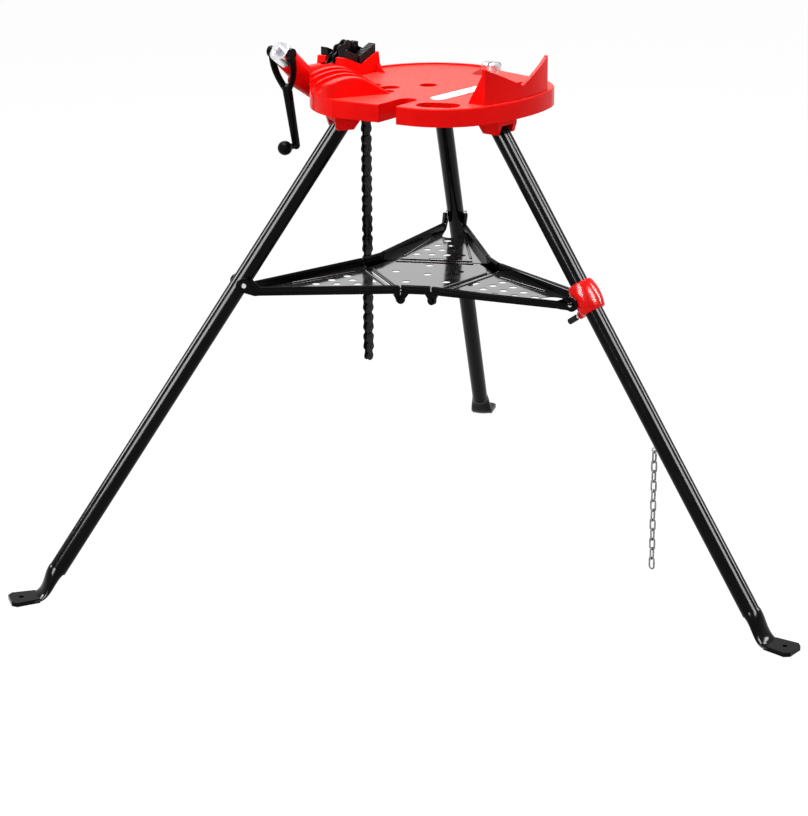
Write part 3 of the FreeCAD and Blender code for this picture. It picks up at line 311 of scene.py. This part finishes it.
def blackened_steel(name, tone, rough):
    finish = Finish(name).set(Metallic=0.85)
    brush = finish.group("brush", Fineness=600.0, Blotch_Scale=120.0)
    finish.blend(brush["Blotch"], (tone, tone, tone * 1.05), (tone * 2.2, tone * 2.2, tone * 2.3))
    finish.vary("Roughness", brush["Blotch"], rough, rough + 0.18)
    finish.bump(brush["Height"], 0.00012, 0.5)
    return finish.material


def black_vinyl():
    finish = Finish("black_vinyl").set(Specular_IOR_Level=0.12)
    skin = finish.group("skin", Peel_Scale=90.0)
    finish.blend(skin["Tone"], (0.006, 0.006, 0.006), (0.014, 0.014, 0.014))
    finish.vary("Roughness", skin["Dullness"], 0.35, 0.5)
    finish.bump(skin["Height"], 0.0003, 0.5)
    return finish.material


def white_label():
    finish = Finish("white_label").set(Specular_IOR_Level=0.4)
    skin = finish.group("skin", Peel_Scale=60.0)
    finish.blend(skin["Tone"], (0.86, 0.84, 0.80), (0.92, 0.91, 0.89))
    finish.vary("Roughness", skin["Dullness"], 0.35, 0.5)
    finish.bump(skin["Height"], 0.0001, 0.3)
    return finish.material


finishes = {
    "red_casting": red_casting(),
    "red_gloss": red_gloss(),
    "black_gloss": black_gloss(),
    "tray": tray_enamel(),
    "chrome": bright_chrome(),
    "zinc": zinc_plate(),
    "chain": blackened_steel("chain_black", 0.007, 0.2),
    "jaw": blackened_steel("jaw_black", 0.008, 0.3),
    "link": blackened_steel("link_steel", 0.16, 0.22),
    "vinyl": black_vinyl(),
    "label": white_label(),
}


def finish_of(node):
    if node == "table_casting":
        return "red_casting"
    if node == "leg_collar":
        return "red_gloss"
    if node in ("crank_nut", "thrust_washer"):
        return "chrome"
    if node == "plunger_grip":
        return "vinyl"
    if node.startswith("vise_chain"):
        return "chain"
    if node in ("front_jaw", "rear_jaw", "jaw_screws"):
        return "jaw"
    if node.startswith(("tray_plate", "tray_wing")):
        return "tray"
    if node in ("leg_front", "leg_left", "leg_right", "crank_handle", "handle_knob", "tray_hinge_pins"):
        return "black_gloss"
    return "zinc"


for name, obj in nodes.items():
    obj.data.materials.clear()
    obj.data.materials.append(finishes[finish_of(name)])


# ------------------------------------------------------------------ geometry node helpers
class Maker:
    """A Geometry Nodes tree with named inputs, lengths in metres, that ends as a plain mesh."""

    def __init__(self, name, sizes):
        self.tree = bpy.data.node_groups.new(name, "GeometryNodeTree")
        face = self.tree.interface
        face.new_socket("Geometry", in_out="INPUT", socket_type="NodeSocketGeometry")
        self.sockets = {}
        for label in sizes:
            self.sockets[label] = face.new_socket(label, in_out="INPUT", socket_type="NodeSocketFloat")
        self.sockets["Finish"] = face.new_socket("Finish", in_out="INPUT",
                                                 socket_type="NodeSocketMaterial")
        face.new_socket("Geometry", in_out="OUTPUT", socket_type="NodeSocketGeometry")
        self.given = self.tree.nodes.new("NodeGroupInput").outputs
        self.sizes = sizes

    def node(self, kind, **fields):
        made = self.tree.nodes.new(kind)
        for label, value in fields.items():
            setattr(made, label, value)
        return made

    def link(self, value, socket):
        if isinstance(value, bpy.types.NodeSocket):
            self.tree.links.new(value, socket)
        else:
            socket.default_value = value

    def maths(self, kind, *values):
        node = self.node("ShaderNodeMath", operation=kind)
        for slot, value in enumerate(values):
            self.link(value, node.inputs[slot])
        return node.outputs[0]

    def vector(self, x=0.0, y=0.0, z=0.0):
        node = self.node("ShaderNodeCombineXYZ")
        for slot, value in enumerate((x, y, z)):
            self.link(value, node.inputs[slot])
        return node.outputs[0]

    def split(self):
        """The three parts of a point's place."""
        node = self.node("ShaderNodeSeparateXYZ")
        self.link(self.node("GeometryNodeInputPosition").outputs[0], node.inputs[0])
        return node.outputs

    def place(self, geometry, position):
        node = self.node("GeometryNodeSetPosition")
        self.link(geometry, node.inputs["Geometry"])
        self.link(position, node.inputs["Position"])
        return node.outputs[0]

    def move(self, geometry, offset, turn=(0.0, 0.0, 0.0)):
        node = self.node("GeometryNodeTransform")
        self.link(geometry, node.inputs["Geometry"])
        self.link(offset, node.inputs["Translation"])
        self.link(turn, node.inputs["Rotation"])
        return node.outputs[0]

    def join(self, *geometries):
        node = self.node("GeometryNodeJoinGeometry")
        for geometry in geometries:
            self.tree.links.new(geometry, node.inputs[0])
        return node.outputs[0]

    def smooth(self, geometry, faces=True):
        node = self.node("GeometryNodeSetShadeSmooth")
        self.link(geometry, node.inputs["Geometry"])
        self.link(faces, node.inputs["Selection"])
        return node.outputs[0]

    def barrel(self, radius, length, sides=20):
        """Round bar along Y, its wall shaded smooth."""
        node = self.node("GeometryNodeMeshCylinder")
        node.inputs["Vertices"].default_value = sides
        self.link(radius, node.inputs["Radius"])
        self.link(length, node.inputs["Depth"])
        shaded = self.smooth(node.outputs["Mesh"], node.outputs["Side"])
        return self.move(shaded, (0, 0, 0), (math.pi / 2, 0, 0))

    def attribute(self, label):
        node = self.node("GeometryNodeInputNamedAttribute", data_type="FLOAT")
        node.inputs["Name"].default_value = label
        return node.outputs[0]

    def copies(self, shape, turn, chosen):
        """Copies of a shape on the chosen points, each turned by a vector of angles."""
        node = self.node("GeometryNodeInstanceOnPoints")
        self.link(self.given["Geometry"], node.inputs["Points"])
        self.link(shape, node.inputs["Instance"])
        self.link(turn, node.inputs["Rotation"])
        self.link(chosen, node.inputs["Selection"])
        return node.outputs[0]

    def finish(self, geometry):
        real = self.node("GeometryNodeRealizeInstances")
        self.link(geometry, real.inputs[0])
        paint = self.node("GeometryNodeSetMaterial")
        self.link(real.outputs[0], paint.inputs["Geometry"])
        self.link(self.given["Finish"], paint.inputs["Material"])
        out = self.node("NodeGroupOutput")
        self.link(paint.outputs[0], out.inputs[0])

    def make(self, name, points, values, material, edges=()):
        """Run the tree on points that carry float values, and keep the plain mesh."""
        base = bpy.data.meshes.new(name + "_points")
        base.from_pydata(points, edges, [])
        for label, numbers in values.items():
            base.attributes.new(label, "FLOAT", "POINT").data.foreach_set("value", numbers)
        obj = mesh_object(name, base)
        modifier = obj.modifiers.new("maker", "NODES")
        modifier.node_group = self.tree
        for label, value in self.sizes.items():
            modifier[self.sockets[label].identifier] = value
        modifier[self.sockets["Finish"].identifier] = material
        ready = obj.evaluated_get(bpy.context.evaluated_depsgraph_get())
        mesh = bpy.data.meshes.new_from_object(ready)
        obj.modifiers.clear()
        obj.data = mesh
        bpy.data.meshes.remove(base)
        return obj


def mesh_object(name, mesh):
    obj = bpy.data.objects.new(name, mesh)
    bpy.context.scene.collection.objects.link(obj)
    return obj


# ------------------------------------------------------------------ vise chain
def roller_chain_tree():
    """Waisted side plates, riveted pins and rollers, alternating along the pins' places."""
    make = Maker("roller_chain", {"Pitch": chain_pitch, "Plate Radius": 0.0083,
                                  "Plate Thickness": 0.0017, "Inner Width": 0.0064,
                                  "Pin Radius": 0.0026, "Roller Radius": 0.0056,
                                  "Waist": 0.70, "Edge Rounding": 0.0004})
    given = make.given
    half_pitch = make.maths("MULTIPLY", given["Pitch"], 0.5)
    radius = given["Plate Radius"]

    blank = make.node("GeometryNodeMeshCube")
    blank.inputs["Size"].default_value = (2, 2, 2)
    for side, count in (("X", 25), ("Y", 2), ("Z", 4)):
        blank.inputs["Vertices " + side].default_value = count
    u, v, w = make.split()
    swing = make.maths("SINE", make.maths("MULTIPLY", u, math.pi / 2))
    outer = make.maths("GREATER_THAN", make.maths("ABSOLUTE", w), 0.9)
    trim = make.maths("MULTIPLY", outer, given["Edge Rounding"])
    lobe = make.maths("SUBTRACT", radius, trim)
    x = make.maths("MULTIPLY", swing, make.maths("ADD", half_pitch, lobe))
    beyond = make.maths("SUBTRACT", make.maths("ABSOLUTE", x), half_pitch)
    square = make.maths("SUBTRACT", make.maths("MULTIPLY", lobe, lobe),
                        make.maths("MULTIPLY", beyond, beyond))
    round_end = make.maths("SQRT", make.maths("MAXIMUM", square, 0.0))
    share = make.node("ShaderNodeMapRange", interpolation_type="SMOOTHSTEP")
    make.link(make.maths("DIVIDE", make.maths("ABSOLUTE", x), half_pitch), share.inputs["Value"])
    make.link(given["Waist"], share.inputs["To Min"])
    middle = make.maths("MULTIPLY", lobe, share.outputs[0])
    at_end = make.maths("GREATER_THAN", beyond, 0.0)
    mix = make.node("ShaderNodeMix", data_type="FLOAT")
    make.link(at_end, mix.inputs[0])
    make.link(middle, mix.inputs[2])
    make.link(round_end, mix.inputs[3])
    height = mix.outputs[0]
    full = make.maths("MULTIPLY", given["Plate Thickness"], 0.5)
    depth = make.maths("SUBTRACT", full, make.maths("MULTIPLY", given["Edge Rounding"],
                                                     make.maths("SUBTRACT", 1.0, outer)))
    y = make.maths("MULTIPLY", make.maths("SIGN", w), depth)
    flat = make.place(blank.outputs["Mesh"], make.vector(x, make.maths("MULTIPLY", y, -1.0),
                                                         make.maths("MULTIPLY", v, height)))
    plate = make.move(flat, make.vector(half_pitch))

    plate_gap, pin_stand_out, head_height, roller_play = 0.00015, 0.0005, 0.0004, 0.0003
    half = make.maths("MULTIPLY", given["Inner Width"], 0.5)
    near = make.maths("ADD", half, full)
    far = make.maths("ADD", near, make.maths("ADD", given["Plate Thickness"], plate_gap))
    pin_half = make.maths("ADD", make.maths("ADD", far, full), pin_stand_out)

    def pair(distance):
        return make.join(make.move(plate, make.vector(0.0, distance)),
                         make.move(plate, make.vector(0.0, make.maths("MULTIPLY", distance, -1.0))))

    def at_pins(shape):
        return make.join(shape, make.move(shape, make.vector(given["Pitch"])))

    head = make.node("GeometryNodeMeshCone")
    head.inputs["Vertices"].default_value = 20
    head.inputs["Depth"].default_value = head_height
    make.link(make.maths("MULTIPLY", given["Pin Radius"], 0.6), head.inputs["Radius Top"])
    make.link(given["Pin Radius"], head.inputs["Radius Bottom"])
    heads = [make.move(head.outputs["Mesh"], make.vector(0.0, pin_half), (-math.pi / 2, 0, 0)),
             make.move(head.outputs["Mesh"], make.vector(0.0, make.maths("MULTIPLY", pin_half, -1.0)),
                       (math.pi / 2, 0, 0))]
    pin = make.barrel(given["Pin Radius"], make.maths("MULTIPLY", pin_half, 2.0))
    roller = make.barrel(given["Roller Radius"],
                         make.maths("SUBTRACT", given["Inner Width"], roller_play))
    outer_link = make.join(pair(far), at_pins(make.join(pin, *heads)))
    inner_link = make.join(pair(near), at_pins(roller))

    turn = make.vector(0.0, make.maths("MULTIPLY", make.attribute("slope"), -1.0))
    kind = make.attribute("outer")
    make.finish(make.join(make.copies(outer_link, turn, make.maths("GREATER_THAN", kind, 0.5)),
                          make.copies(inner_link, turn, make.maths("LESS_THAN", kind, 0.5))))
    return make


def vise_chain():
    """Seven lengths of chain, from the screw's eye over the jaws and down."""
    joint = joints["nut_turn"]
    pull = Vector(joint["axis"])
    pin = Vector(joint["pos_m"]) - pull * chain_eye_distance
    slopes = [math.radians(degrees) for degrees in chain_lead] + [-math.pi / 2] * chain_hanging
    make = roller_chain_tree()
    counts = [len(chain_lead) + chain_lengths[0]] + list(chain_lengths[1:])
    link = 0
    for length, count in enumerate(counts, 1):
        places, turns, outer = [], [], []
        for slope in slopes[link:link + count]:
            places.append(tuple(pin))
            turns.append(slope)
            outer.append(float((link + len(outer)) % 2 == 0))
            pin = pin + Vector((math.cos(slope), 0, math.sin(slope))) * chain_pitch
        link += count
        body = "chain_screw" if length == 1 else "chain_%d" % length
        piece = make.make("roller_chain_%d" % length, places, {"slope": turns, "outer": outer},
                          finishes["chain"])
        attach(piece, body)
        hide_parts("vise_chain_%d" % length)


# ------------------------------------------------------------------ tie chain
def tie_chain_tree():
    """Welded oval wire links, every other one turned a quarter."""
    make = Maker("tie_chain", {"Bend Radius": 0.0046, "Straight": 0.01175, "Wire Radius": 0.0016,
                               "Weld Swell": 0.22})
    given = make.given
    corners, seam_half = 28, 0.0009
    loop = make.node("GeometryNodeMeshCircle")
    loop.inputs["Vertices"].default_value = corners
    loop.inputs["Radius"].default_value = 1.0
    turned = make.move(loop.outputs["Mesh"], (0, 0, 0), (math.pi / 2, math.pi / corners, 0))
    x, _, z = make.split()
    side = make.maths("MULTIPLY", make.maths("SIGN", z), make.maths("MULTIPLY", given["Straight"], 0.5))
    height = make.maths("ADD", make.maths("MULTIPLY", z, given["Bend Radius"]), side)
    oval = make.place(turned, make.vector(make.maths("MULTIPLY", x, given["Bend Radius"]), 0.0, height))
    path = make.node("GeometryNodeMeshToCurve")
    make.link(oval, path.inputs["Mesh"])
    fine = make.node("GeometryNodeResampleCurve", mode="COUNT")
    make.link(path.outputs[0], fine.inputs["Curve"])
    fine.inputs["Count"].default_value = 44
    px, _, pz = make.split()
    seam = make.maths("MULTIPLY", make.maths("GREATER_THAN", px, 0.0),
                      make.maths("LESS_THAN", make.maths("ABSOLUTE", pz), seam_half))
    swell = make.node("GeometryNodeSetCurveRadius")
    make.link(fine.outputs[0], swell.inputs["Curve"])
    make.link(make.maths("MULTIPLY_ADD", seam, given["Weld Swell"], 1.0), swell.inputs["Radius"])
    wire = make.node("GeometryNodeCurvePrimitiveCircle")
    wire.inputs["Resolution"].default_value = 12
    make.link(given["Wire Radius"], wire.inputs["Radius"])
    sweep = make.node("GeometryNodeCurveToMesh")
    make.link(swell.outputs[0], sweep.inputs["Curve"])
    make.link(wire.outputs[0], sweep.inputs["Profile Curve"])
    make.link(make.node("GeometryNodeInputRadius").outputs[0], sweep.inputs["Scale"])
    link = make.smooth(sweep.outputs[0])
    turn = make.vector(0.0, 0.0, make.attribute("turn"))
    make.finish(make.copies(link, turn, True))
    return make


def tie_chain():
    """Two lengths of oval links below the eye on the front leg."""
    make = tie_chain_tree()
    wire, bend, straight = make.sizes["Wire Radius"], make.sizes["Bend Radius"], make.sizes["Straight"]
    eye = Vector(joints["tie_swing"]["pos_m"])
    overlap = 0.0003
    top = eye.z - (bend - wire - overlap) - (bend - wire) - straight / 2
    half = tie_links // 2
    for name, body, first in (("upper", "tie_upper", 0), ("lower", "tie_lower", half)):
        links = range(first, first + half)
        places = [(eye.x, eye.y, top - k * tie_pitch) for k in links]
        turns = [tie_turn + math.pi / 2 * (k % 2 == 0) for k in links]
        piece = make.make("tie_links_" + name, places, {"turn": turns}, finishes["link"])
        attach(piece, body)
        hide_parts("tie_chain_" + name)


# ------------------------------------------------------------------ crank head
def reshaped(node, name, body, material, place_of, shaded_upright_material=None):
    """Smooth copy of a node with every point moved by a rule, in place of the node.

    Faces that stand upright may have a material of their own, which the tray uses for darker, duller
    paint as painted shade."""
    weld, crease, upright = 0.00001, math.radians(32), 0.7
    work = bmesh.new()
    work.from_mesh(nodes[node].data)
    bmesh.ops.remove_doubles(work, verts=work.verts, dist=weld)
    for vertex in work.verts:
        vertex.co = place_of(vertex.co)
    for face in work.faces:
        face.smooth = True
    for edge in work.edges:
        edge.smooth = len(edge.link_faces) == 2 and edge.calc_face_angle(0.0) < crease
    if shaded_upright_material:
        work.normal_update()
        for face in work.faces:
            face.material_index = int(abs(face.normal.z) < upright)
    mesh = bpy.data.meshes.new(name)
    work.to_mesh(mesh)
    work.free()
    mesh.materials.append(material)
    if shaded_upright_material:
        mesh.materials.append(shaded_upright_material)
    piece = mesh_object(name, mesh)
    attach(piece, body)
    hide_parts(node)


def crank_head():
    """Bright cap, its fork and pins, drawn in round the screw's axis."""
    joint = joints["nut_turn"]
    centre, pull = Vector(joint["pos_m"]), Vector(joint["axis"])

    def cap_place(point):
        along = (point - centre).dot(pull)
        round_part = (point - centre) - pull * along
        if along > 0:
            along *= cap_outer_share
        return centre + pull * along + round_part * crank_narrowing

    def fork_place(point):
        return Vector((point.x, centre.y + (point.y - centre.y) * crank_narrowing, point.z))

    reshaped("crank_nut", "bright_cap", "crank_nut", finishes["chrome"], cap_place)
    reshaped("crank_handle", "forked_lever", "crank_handle", finishes["black_gloss"], fork_place)
    reshaped("fork_pins", "dark_fork_pins", "crank_nut", finishes["black_gloss"], fork_place)


# ------------------------------------------------------------------ tray
def rolled_edge_tree():
    """Round bar with closed ends along each run of edges."""
    make = Maker("rolled_edge", {"Roll Radius": 0.0042})
    wall_face_area = 0.0001
    path = make.node("GeometryNodeMeshToCurve")
    make.link(make.given["Geometry"], path.inputs["Mesh"])
    ring = make.node("GeometryNodeCurvePrimitiveCircle")
    ring.inputs["Resolution"].default_value = 16
    make.link(make.given["Roll Radius"], ring.inputs["Radius"])
    sweep = make.node("GeometryNodeCurveToMesh")
    make.link(path.outputs[0], sweep.inputs["Curve"])
    make.link(ring.outputs[0], sweep.inputs["Profile Curve"])
    sweep.inputs["Fill Caps"].default_value = True
    area = make.node("GeometryNodeInputMeshFaceArea").outputs[0]
    make.finish(make.smooth(sweep.outputs[0], make.maths("GREATER_THAN", area, wall_face_area)))
    return make


def from_tray(azimuth, x, y, z):
    """Place in the scene of a point given along a heading, across it and up."""
    c, s = math.cos(azimuth), math.sin(azimuth)
    return Vector((x * c - y * s, middle_y + x * s + y * c, z))


def to_tray(azimuth, point):
    """The same place along the heading, across it and up."""
    c, s = math.cos(azimuth), math.sin(azimuth)
    x, y = point.x, point.y - middle_y
    return Vector((x * c + y * s, y * c - x * s, point.z))


def thin_sheet(place, holes):
    """A point of the sheet, moved so that the sheet is thinner and its holes wider."""
    if abs(place.z - tray_bottom) < same_place:
        place.z += sheet_saving
    if tray_bottom - near_sheet < place.z < tray_top + near_sheet:
        for x, y in holes:
            if abs(math.hypot(place.x - x, place.y - y) - hole_radius) < near_hole:
                place.x = x + (place.x - x) * hole_growth
                place.y = y + (place.y - y) * hole_growth
                break
    return place


def rail_rim(node, azimuth):
    """Points of a tray node's rail tops, as from_tray takes them."""
    return [to_tray(azimuth, v.co) for v in nodes[node].data.vertices
            if abs(v.co.z - rail_top) < same_place]


def tray_wing(name, rolls):
    """Thin folded leaf whose upright rails take darker, duller paint than the deck as painted shade, with
    rolled rail tops and small bright rivets.
    """
    wing = "tray_wing_" + name
    joint = joints["wing_%s_fold" % name]["pos_m"]
    azimuth = math.atan2(joint[1] - middle_y, joint[0])
    holes = [(first_hole_out - hole_row_step * row, (k - row / 2) * hole_step)
             for row in range(hole_rows) for k in range(row + 1)]

    def leaf_place(point):
        place = thin_sheet(to_tray(azimuth, point), holes)
        return from_tray(azimuth, *place)

    # Upright faces of the leaf, its rails, get the darker and duller black paint as painted shade.
    reshaped(wing, "tray_leaf_" + name, wing, finishes["tray"], leaf_place, finishes["black_gloss"])

    low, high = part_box("wing_rivets_" + name)
    pin = to_tray(azimuth, (low + high) / 2)

    def rivet_place(point):
        place = to_tray(azimuth, point)
        out = Vector((place.x - pin.x, 0, place.z - pin.z))
        if out.length > rivet_radius:
            out *= rivet_radius / out.length
        return from_tray(azimuth, pin.x + out.x, place.y, pin.z + out.z)

    reshaped("wing_rivets_" + name, "small_rivets_" + name, wing, finishes["zinc"], rivet_place)

    root_gap, roll_out, end_before_pin, end_above_pin, corner_weight = 0.003, 0.0006, 0.012, 0.009, 0.01
    rim = rail_rim(wing, azimuth)
    root = max(rim, key=lambda p: p.y - p.x)
    tip = max(rim, key=lambda p: p.x + p.y * corner_weight)
    points, edges = [], []
    for side in (-1, 1):
        run = [(root.x + root_gap, side * abs(root.y), rail_top - roll_below_rail),
               (tip.x, side * (abs(tip.y) + roll_out), rail_top - roll_below_rail),
               (pin.x - end_before_pin, side * (abs(tip.y) + roll_out), pin.z + end_above_pin)]
        edges += [(len(points) + k, len(points) + k + 1) for k in range(len(run) - 1)]
        points += [tuple(from_tray(azimuth, *p)) for p in run]
    # The rolled rail tops take the same darker, duller paint as the rails.
    piece = rolls.make("rail_rolls_" + name, points, {}, finishes["black_gloss"], edges)
    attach(piece, wing)


def tray():
    """Three wings, and the middle deck with a rolled lip on each side between them."""
    rolls = rolled_edge_tree()
    for name in ("front", "left", "right"):
        tray_wing(name, rolls)
    holes = [(0.0, 0.0)]
    for k in range(5):
        turn = math.radians(72 * k - 36)
        holes.append((deck_ring_radius * math.cos(turn), deck_ring_radius * math.sin(turn)))
    lips = []
    for degrees in (90, 210, 330):
        azimuth = math.radians(degrees)
        rim = rail_rim("tray_plate", azimuth)
        reach = max(p.x for p in rim)
        lips.append((azimuth, reach, max(abs(p.y) for p in rim if p.x > reach - lip_depth)))

    def plate_place(point):
        place = from_tray(0.0, *thin_sheet(to_tray(0.0, point), holes))
        for azimuth, reach, half in lips:
            lip = to_tray(azimuth, place)
            if lip.x > reach - lip_depth and abs(abs(lip.y) - half) < same_place:
                place = from_tray(azimuth, lip.x, lip.y + math.copysign(lip_growth, lip.y), lip.z)
        return place

    # Upright faces of the deck get the darker and duller black paint as painted shade.
    reshaped("tray_plate", "tray_deck", "tray_plate", finishes["tray"], plate_place,
             finishes["black_gloss"])
    points, edges = [], []
    for azimuth, reach, half in lips:
        edges.append((len(points), len(points) + 1))
        points += [tuple(from_tray(azimuth, reach, side * (half + lip_growth),
                                   rail_top - roll_below_rail)) for side in (-1, 1)]
    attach(rolls.make("lip_rolls", points, {}, finishes["black_gloss"], edges), "tray_plate")


# ------------------------------------------------------------------ bare plate on the table
def plate_mesh(name, outline, height, bevel):
    """Flat plate from a closed outline, with a rounded upper edge."""
    work = bmesh.new()
    ring = [work.verts.new(p) for p in outline]
    face = work.faces.new(ring)
    if face.normal.z > 0:
        face.normal_flip()
    raised = bmesh.ops.extrude_face_region(work, geom=[face])
    top = [v for v in raised["geom"] if isinstance(v, bmesh.types.BMVert)]
    bmesh.ops.translate(work, verts=top, vec=(0, 0, height))
    edges = [e for e in work.edges if all(v in top for v in e.verts)]
    bmesh.ops.bevel(work, geom=edges, offset=bevel, segments=3, profile=0.5, affect="EDGES")
    bmesh.ops.recalc_face_normals(work, faces=work.faces)
    mesh = bpy.data.meshes.new(name)
    work.to_mesh(mesh)
    work.free()
    return mesh


def bare_plate():
    """Bare white plate with round ends on the table, from the middles of its two ends."""
    start = Vector((-0.0793, -0.0910 + middle_y, table_top))
    end = Vector((0.0970, -0.0886 + middle_y, table_top))
    radius, thickness, rounding = 0.0141, 0.0012, 0.0005
    steps, step = 12, 15
    along = (end - start).normalized()
    across = Vector((-along.y, along.x, 0))
    outline = []
    for centre, turn in ((end, -90), (start, 90)):
        for k in range(steps + 1):
            angle = math.radians(turn + k * step)
            outline.append(centre + along * radius * math.cos(angle) + across * radius * math.sin(angle))
    obj = mesh_object("bare_plate", plate_mesh("bare_plate", outline, thickness, rounding))
    obj.data.materials.append(finishes["label"])
    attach(obj, "table")


vise_chain()
tie_chain()
crank_head()
tray()
bare_plate()


# ------------------------------------------------------------------ floor, lamps and world
def floor():
    """Pale paper that glows to the camera and in gloss, and still takes a faint shadow."""
    reach, paper, glow_strength, glow_share = 12, (0.55, 0.55, 0.55, 1), 1.09, 0.88
    mesh = bpy.data.meshes.new("floor")
    mesh.from_pydata([(-reach, -reach, 0), (reach, -reach, 0), (reach, reach, 0), (-reach, reach, 0)],
                     [], [(0, 1, 2, 3)])
    obj = mesh_object("floor", mesh)
    material = bpy.data.materials.new("floor_paper")
    material.use_nodes = True
    tree = material.node_tree
    tree.nodes.clear()
    diffuse = tree.nodes.new("ShaderNodeBsdfDiffuse")
    diffuse.inputs["Color"].default_value = paper
    glow = tree.nodes.new("ShaderNodeEmission")
    glow.inputs["Color"].default_value = (1, 1, 1, 1)
    glow.inputs["Strength"].default_value = glow_strength
    path = tree.nodes.new("ShaderNodeLightPath")
    seen = maths(tree, "MAXIMUM", path.outputs["Is Camera Ray"], path.outputs["Is Glossy Ray"])
    share = maths(tree, "MULTIPLY", seen, glow_share)
    mix = tree.nodes.new("ShaderNodeMixShader")
    tree.links.new(share, mix.inputs[0])
    tree.links.new(diffuse.outputs[0], mix.inputs[1])
    tree.links.new(glow.outputs[0], mix.inputs[2])
    out = tree.nodes.new("ShaderNodeOutputMaterial")
    tree.links.new(mix.outputs[0], out.inputs["Surface"])
    mesh.materials.append(material)


def lamp(name, place, target, power, size, size_y, glossy=True, polishes=None):
    """Area lamp; one that polishes a collection only shows in the gloss of its objects."""
    data = bpy.data.lights.new(name, "AREA")
    data.shape = "RECTANGLE"
    data.energy, data.size, data.size_y = power, size, size_y
    obj = bpy.data.objects.new(name, data)
    obj.location = place
    obj.rotation_euler = (Vector(target) - Vector(place)).to_track_quat("-Z", "Y").to_euler()
    obj.visible_glossy = glossy
    if polishes:
        obj.visible_diffuse = False
        obj.light_linking.receiver_collection = polishes
    bpy.context.scene.collection.objects.link(obj)


def gloss_lamps():
    """Tall lamps around the stand, seen only in the gloss of its legs and collar."""
    distance, length, target = 3.1, 2.2, (0, 0, 0.45)
    tubes = bpy.data.collections.new("polished_tubes")
    for node in ("leg_front", "leg_left", "leg_right", "leg_collar"):
        tubes.objects.link(nodes[node])
    for azimuth, height, power, width in ((177.6, 2.2, 900, 1.6), (261.6, 2.65, 900, 1.6),
                                          (316.3, 2.2, 400, 0.9), (119.5, 2.2, 400, 0.9)):
        turn = math.radians(azimuth)
        place = (distance * math.cos(turn), distance * math.sin(turn), height)
        lamp("gloss_%d" % azimuth, place, target, power, width, length, polishes=tubes)


def world():
    """White to the camera and in reflections, and a softer fill everywhere else."""
    made = bpy.data.worlds.new("studio")
    made.use_nodes = True
    tree = made.node_tree
    tree.nodes.clear()
    path = tree.nodes.new("ShaderNodeLightPath")
    seen = maths(tree, "MAXIMUM", path.outputs["Is Camera Ray"], path.outputs["Is Glossy Ray"])
    seen = maths(tree, "MAXIMUM", seen, path.outputs["Is Transmission Ray"])
    fill_strength, seen_strength = 0.28, 1.0
    shades = []
    for strength in (fill_strength, seen_strength):
        shade = tree.nodes.new("ShaderNodeBackground")
        shade.inputs["Color"].default_value = (1, 1, 1, 1)
        shade.inputs["Strength"].default_value = strength
        shades.append(shade.outputs[0])
    mix = tree.nodes.new("ShaderNodeMixShader")
    tree.links.new(seen, mix.inputs[0])
    for slot, shade in enumerate(shades, 1):
        tree.links.new(shade, mix.inputs[slot])
    out = tree.nodes.new("ShaderNodeOutputWorld")
    tree.links.new(mix.outputs[0], out.inputs["Surface"])
    bpy.context.scene.world = made


def camera():
    """Camera at a distance from its target, by its heading, tilt and roll.

    The picture's size, focal length and optical centre are in pixels."""
    heading, tilt, roll = math.radians(50.737), math.radians(15.773), math.radians(-0.216)
    target = Vector((0, middle_y, 0.5))
    distance = 4.0263
    forward = Vector((math.sin(heading) * math.cos(tilt), math.cos(heading) * math.cos(tilt),
                      -math.sin(tilt)))
    right = Vector((math.cos(heading), -math.sin(heading), 0))
    up = right.cross(forward)
    right, up = right * math.cos(roll) + up * math.sin(roll), up * math.cos(roll) - right * math.sin(roll)
    data = bpy.data.cameras.new("camera")
    data.sensor_fit = "AUTO"
    data.sensor_width = 36.0
    width, height, focal = 808, 816, 2232.1
    centre_x, centre_y = 427.58, 282.25
    data.lens = focal * data.sensor_width / height
    data.shift_x = (width / 2 - centre_x) / height
    data.shift_y = (centre_y - height / 2) / height
    data.clip_start, data.clip_end = 0.05, 60.0
    obj = bpy.data.objects.new("camera", data)
    turn = Matrix((right, up, -forward)).transposed()
    obj.matrix_world = Matrix.Translation(target - forward * distance) @ turn.to_4x4()
    bpy.context.scene.collection.objects.link(obj)
    bpy.context.scene.camera = obj


floor()
world()
lamp("top", (-0.6, 0.4, 3.2), (0, 0, 0.6), 125, 2.0, 2.0)
lamp("side", (2.6, -2.6, 1.9), (0.1, -0.1, 0.5), 58, 1.2, 2.0, glossy=False)
lamp("left", (-3.2, 0.6, 1.9), (0, 0, 0.5), 28, 1.2, 2.0, glossy=False)
lamp("back", (1.4, 2.2, 3.3), (0, 0, 0.8), 55, 2.0, 1.2)
lamp("front", (-2.6, -3.2, 2.2), (0, 0, 0.8), 20, 1.2, 1.2, glossy=False)
gloss_lamps()
camera()
bpy.context.scene.view_settings.view_transform = "Standard"
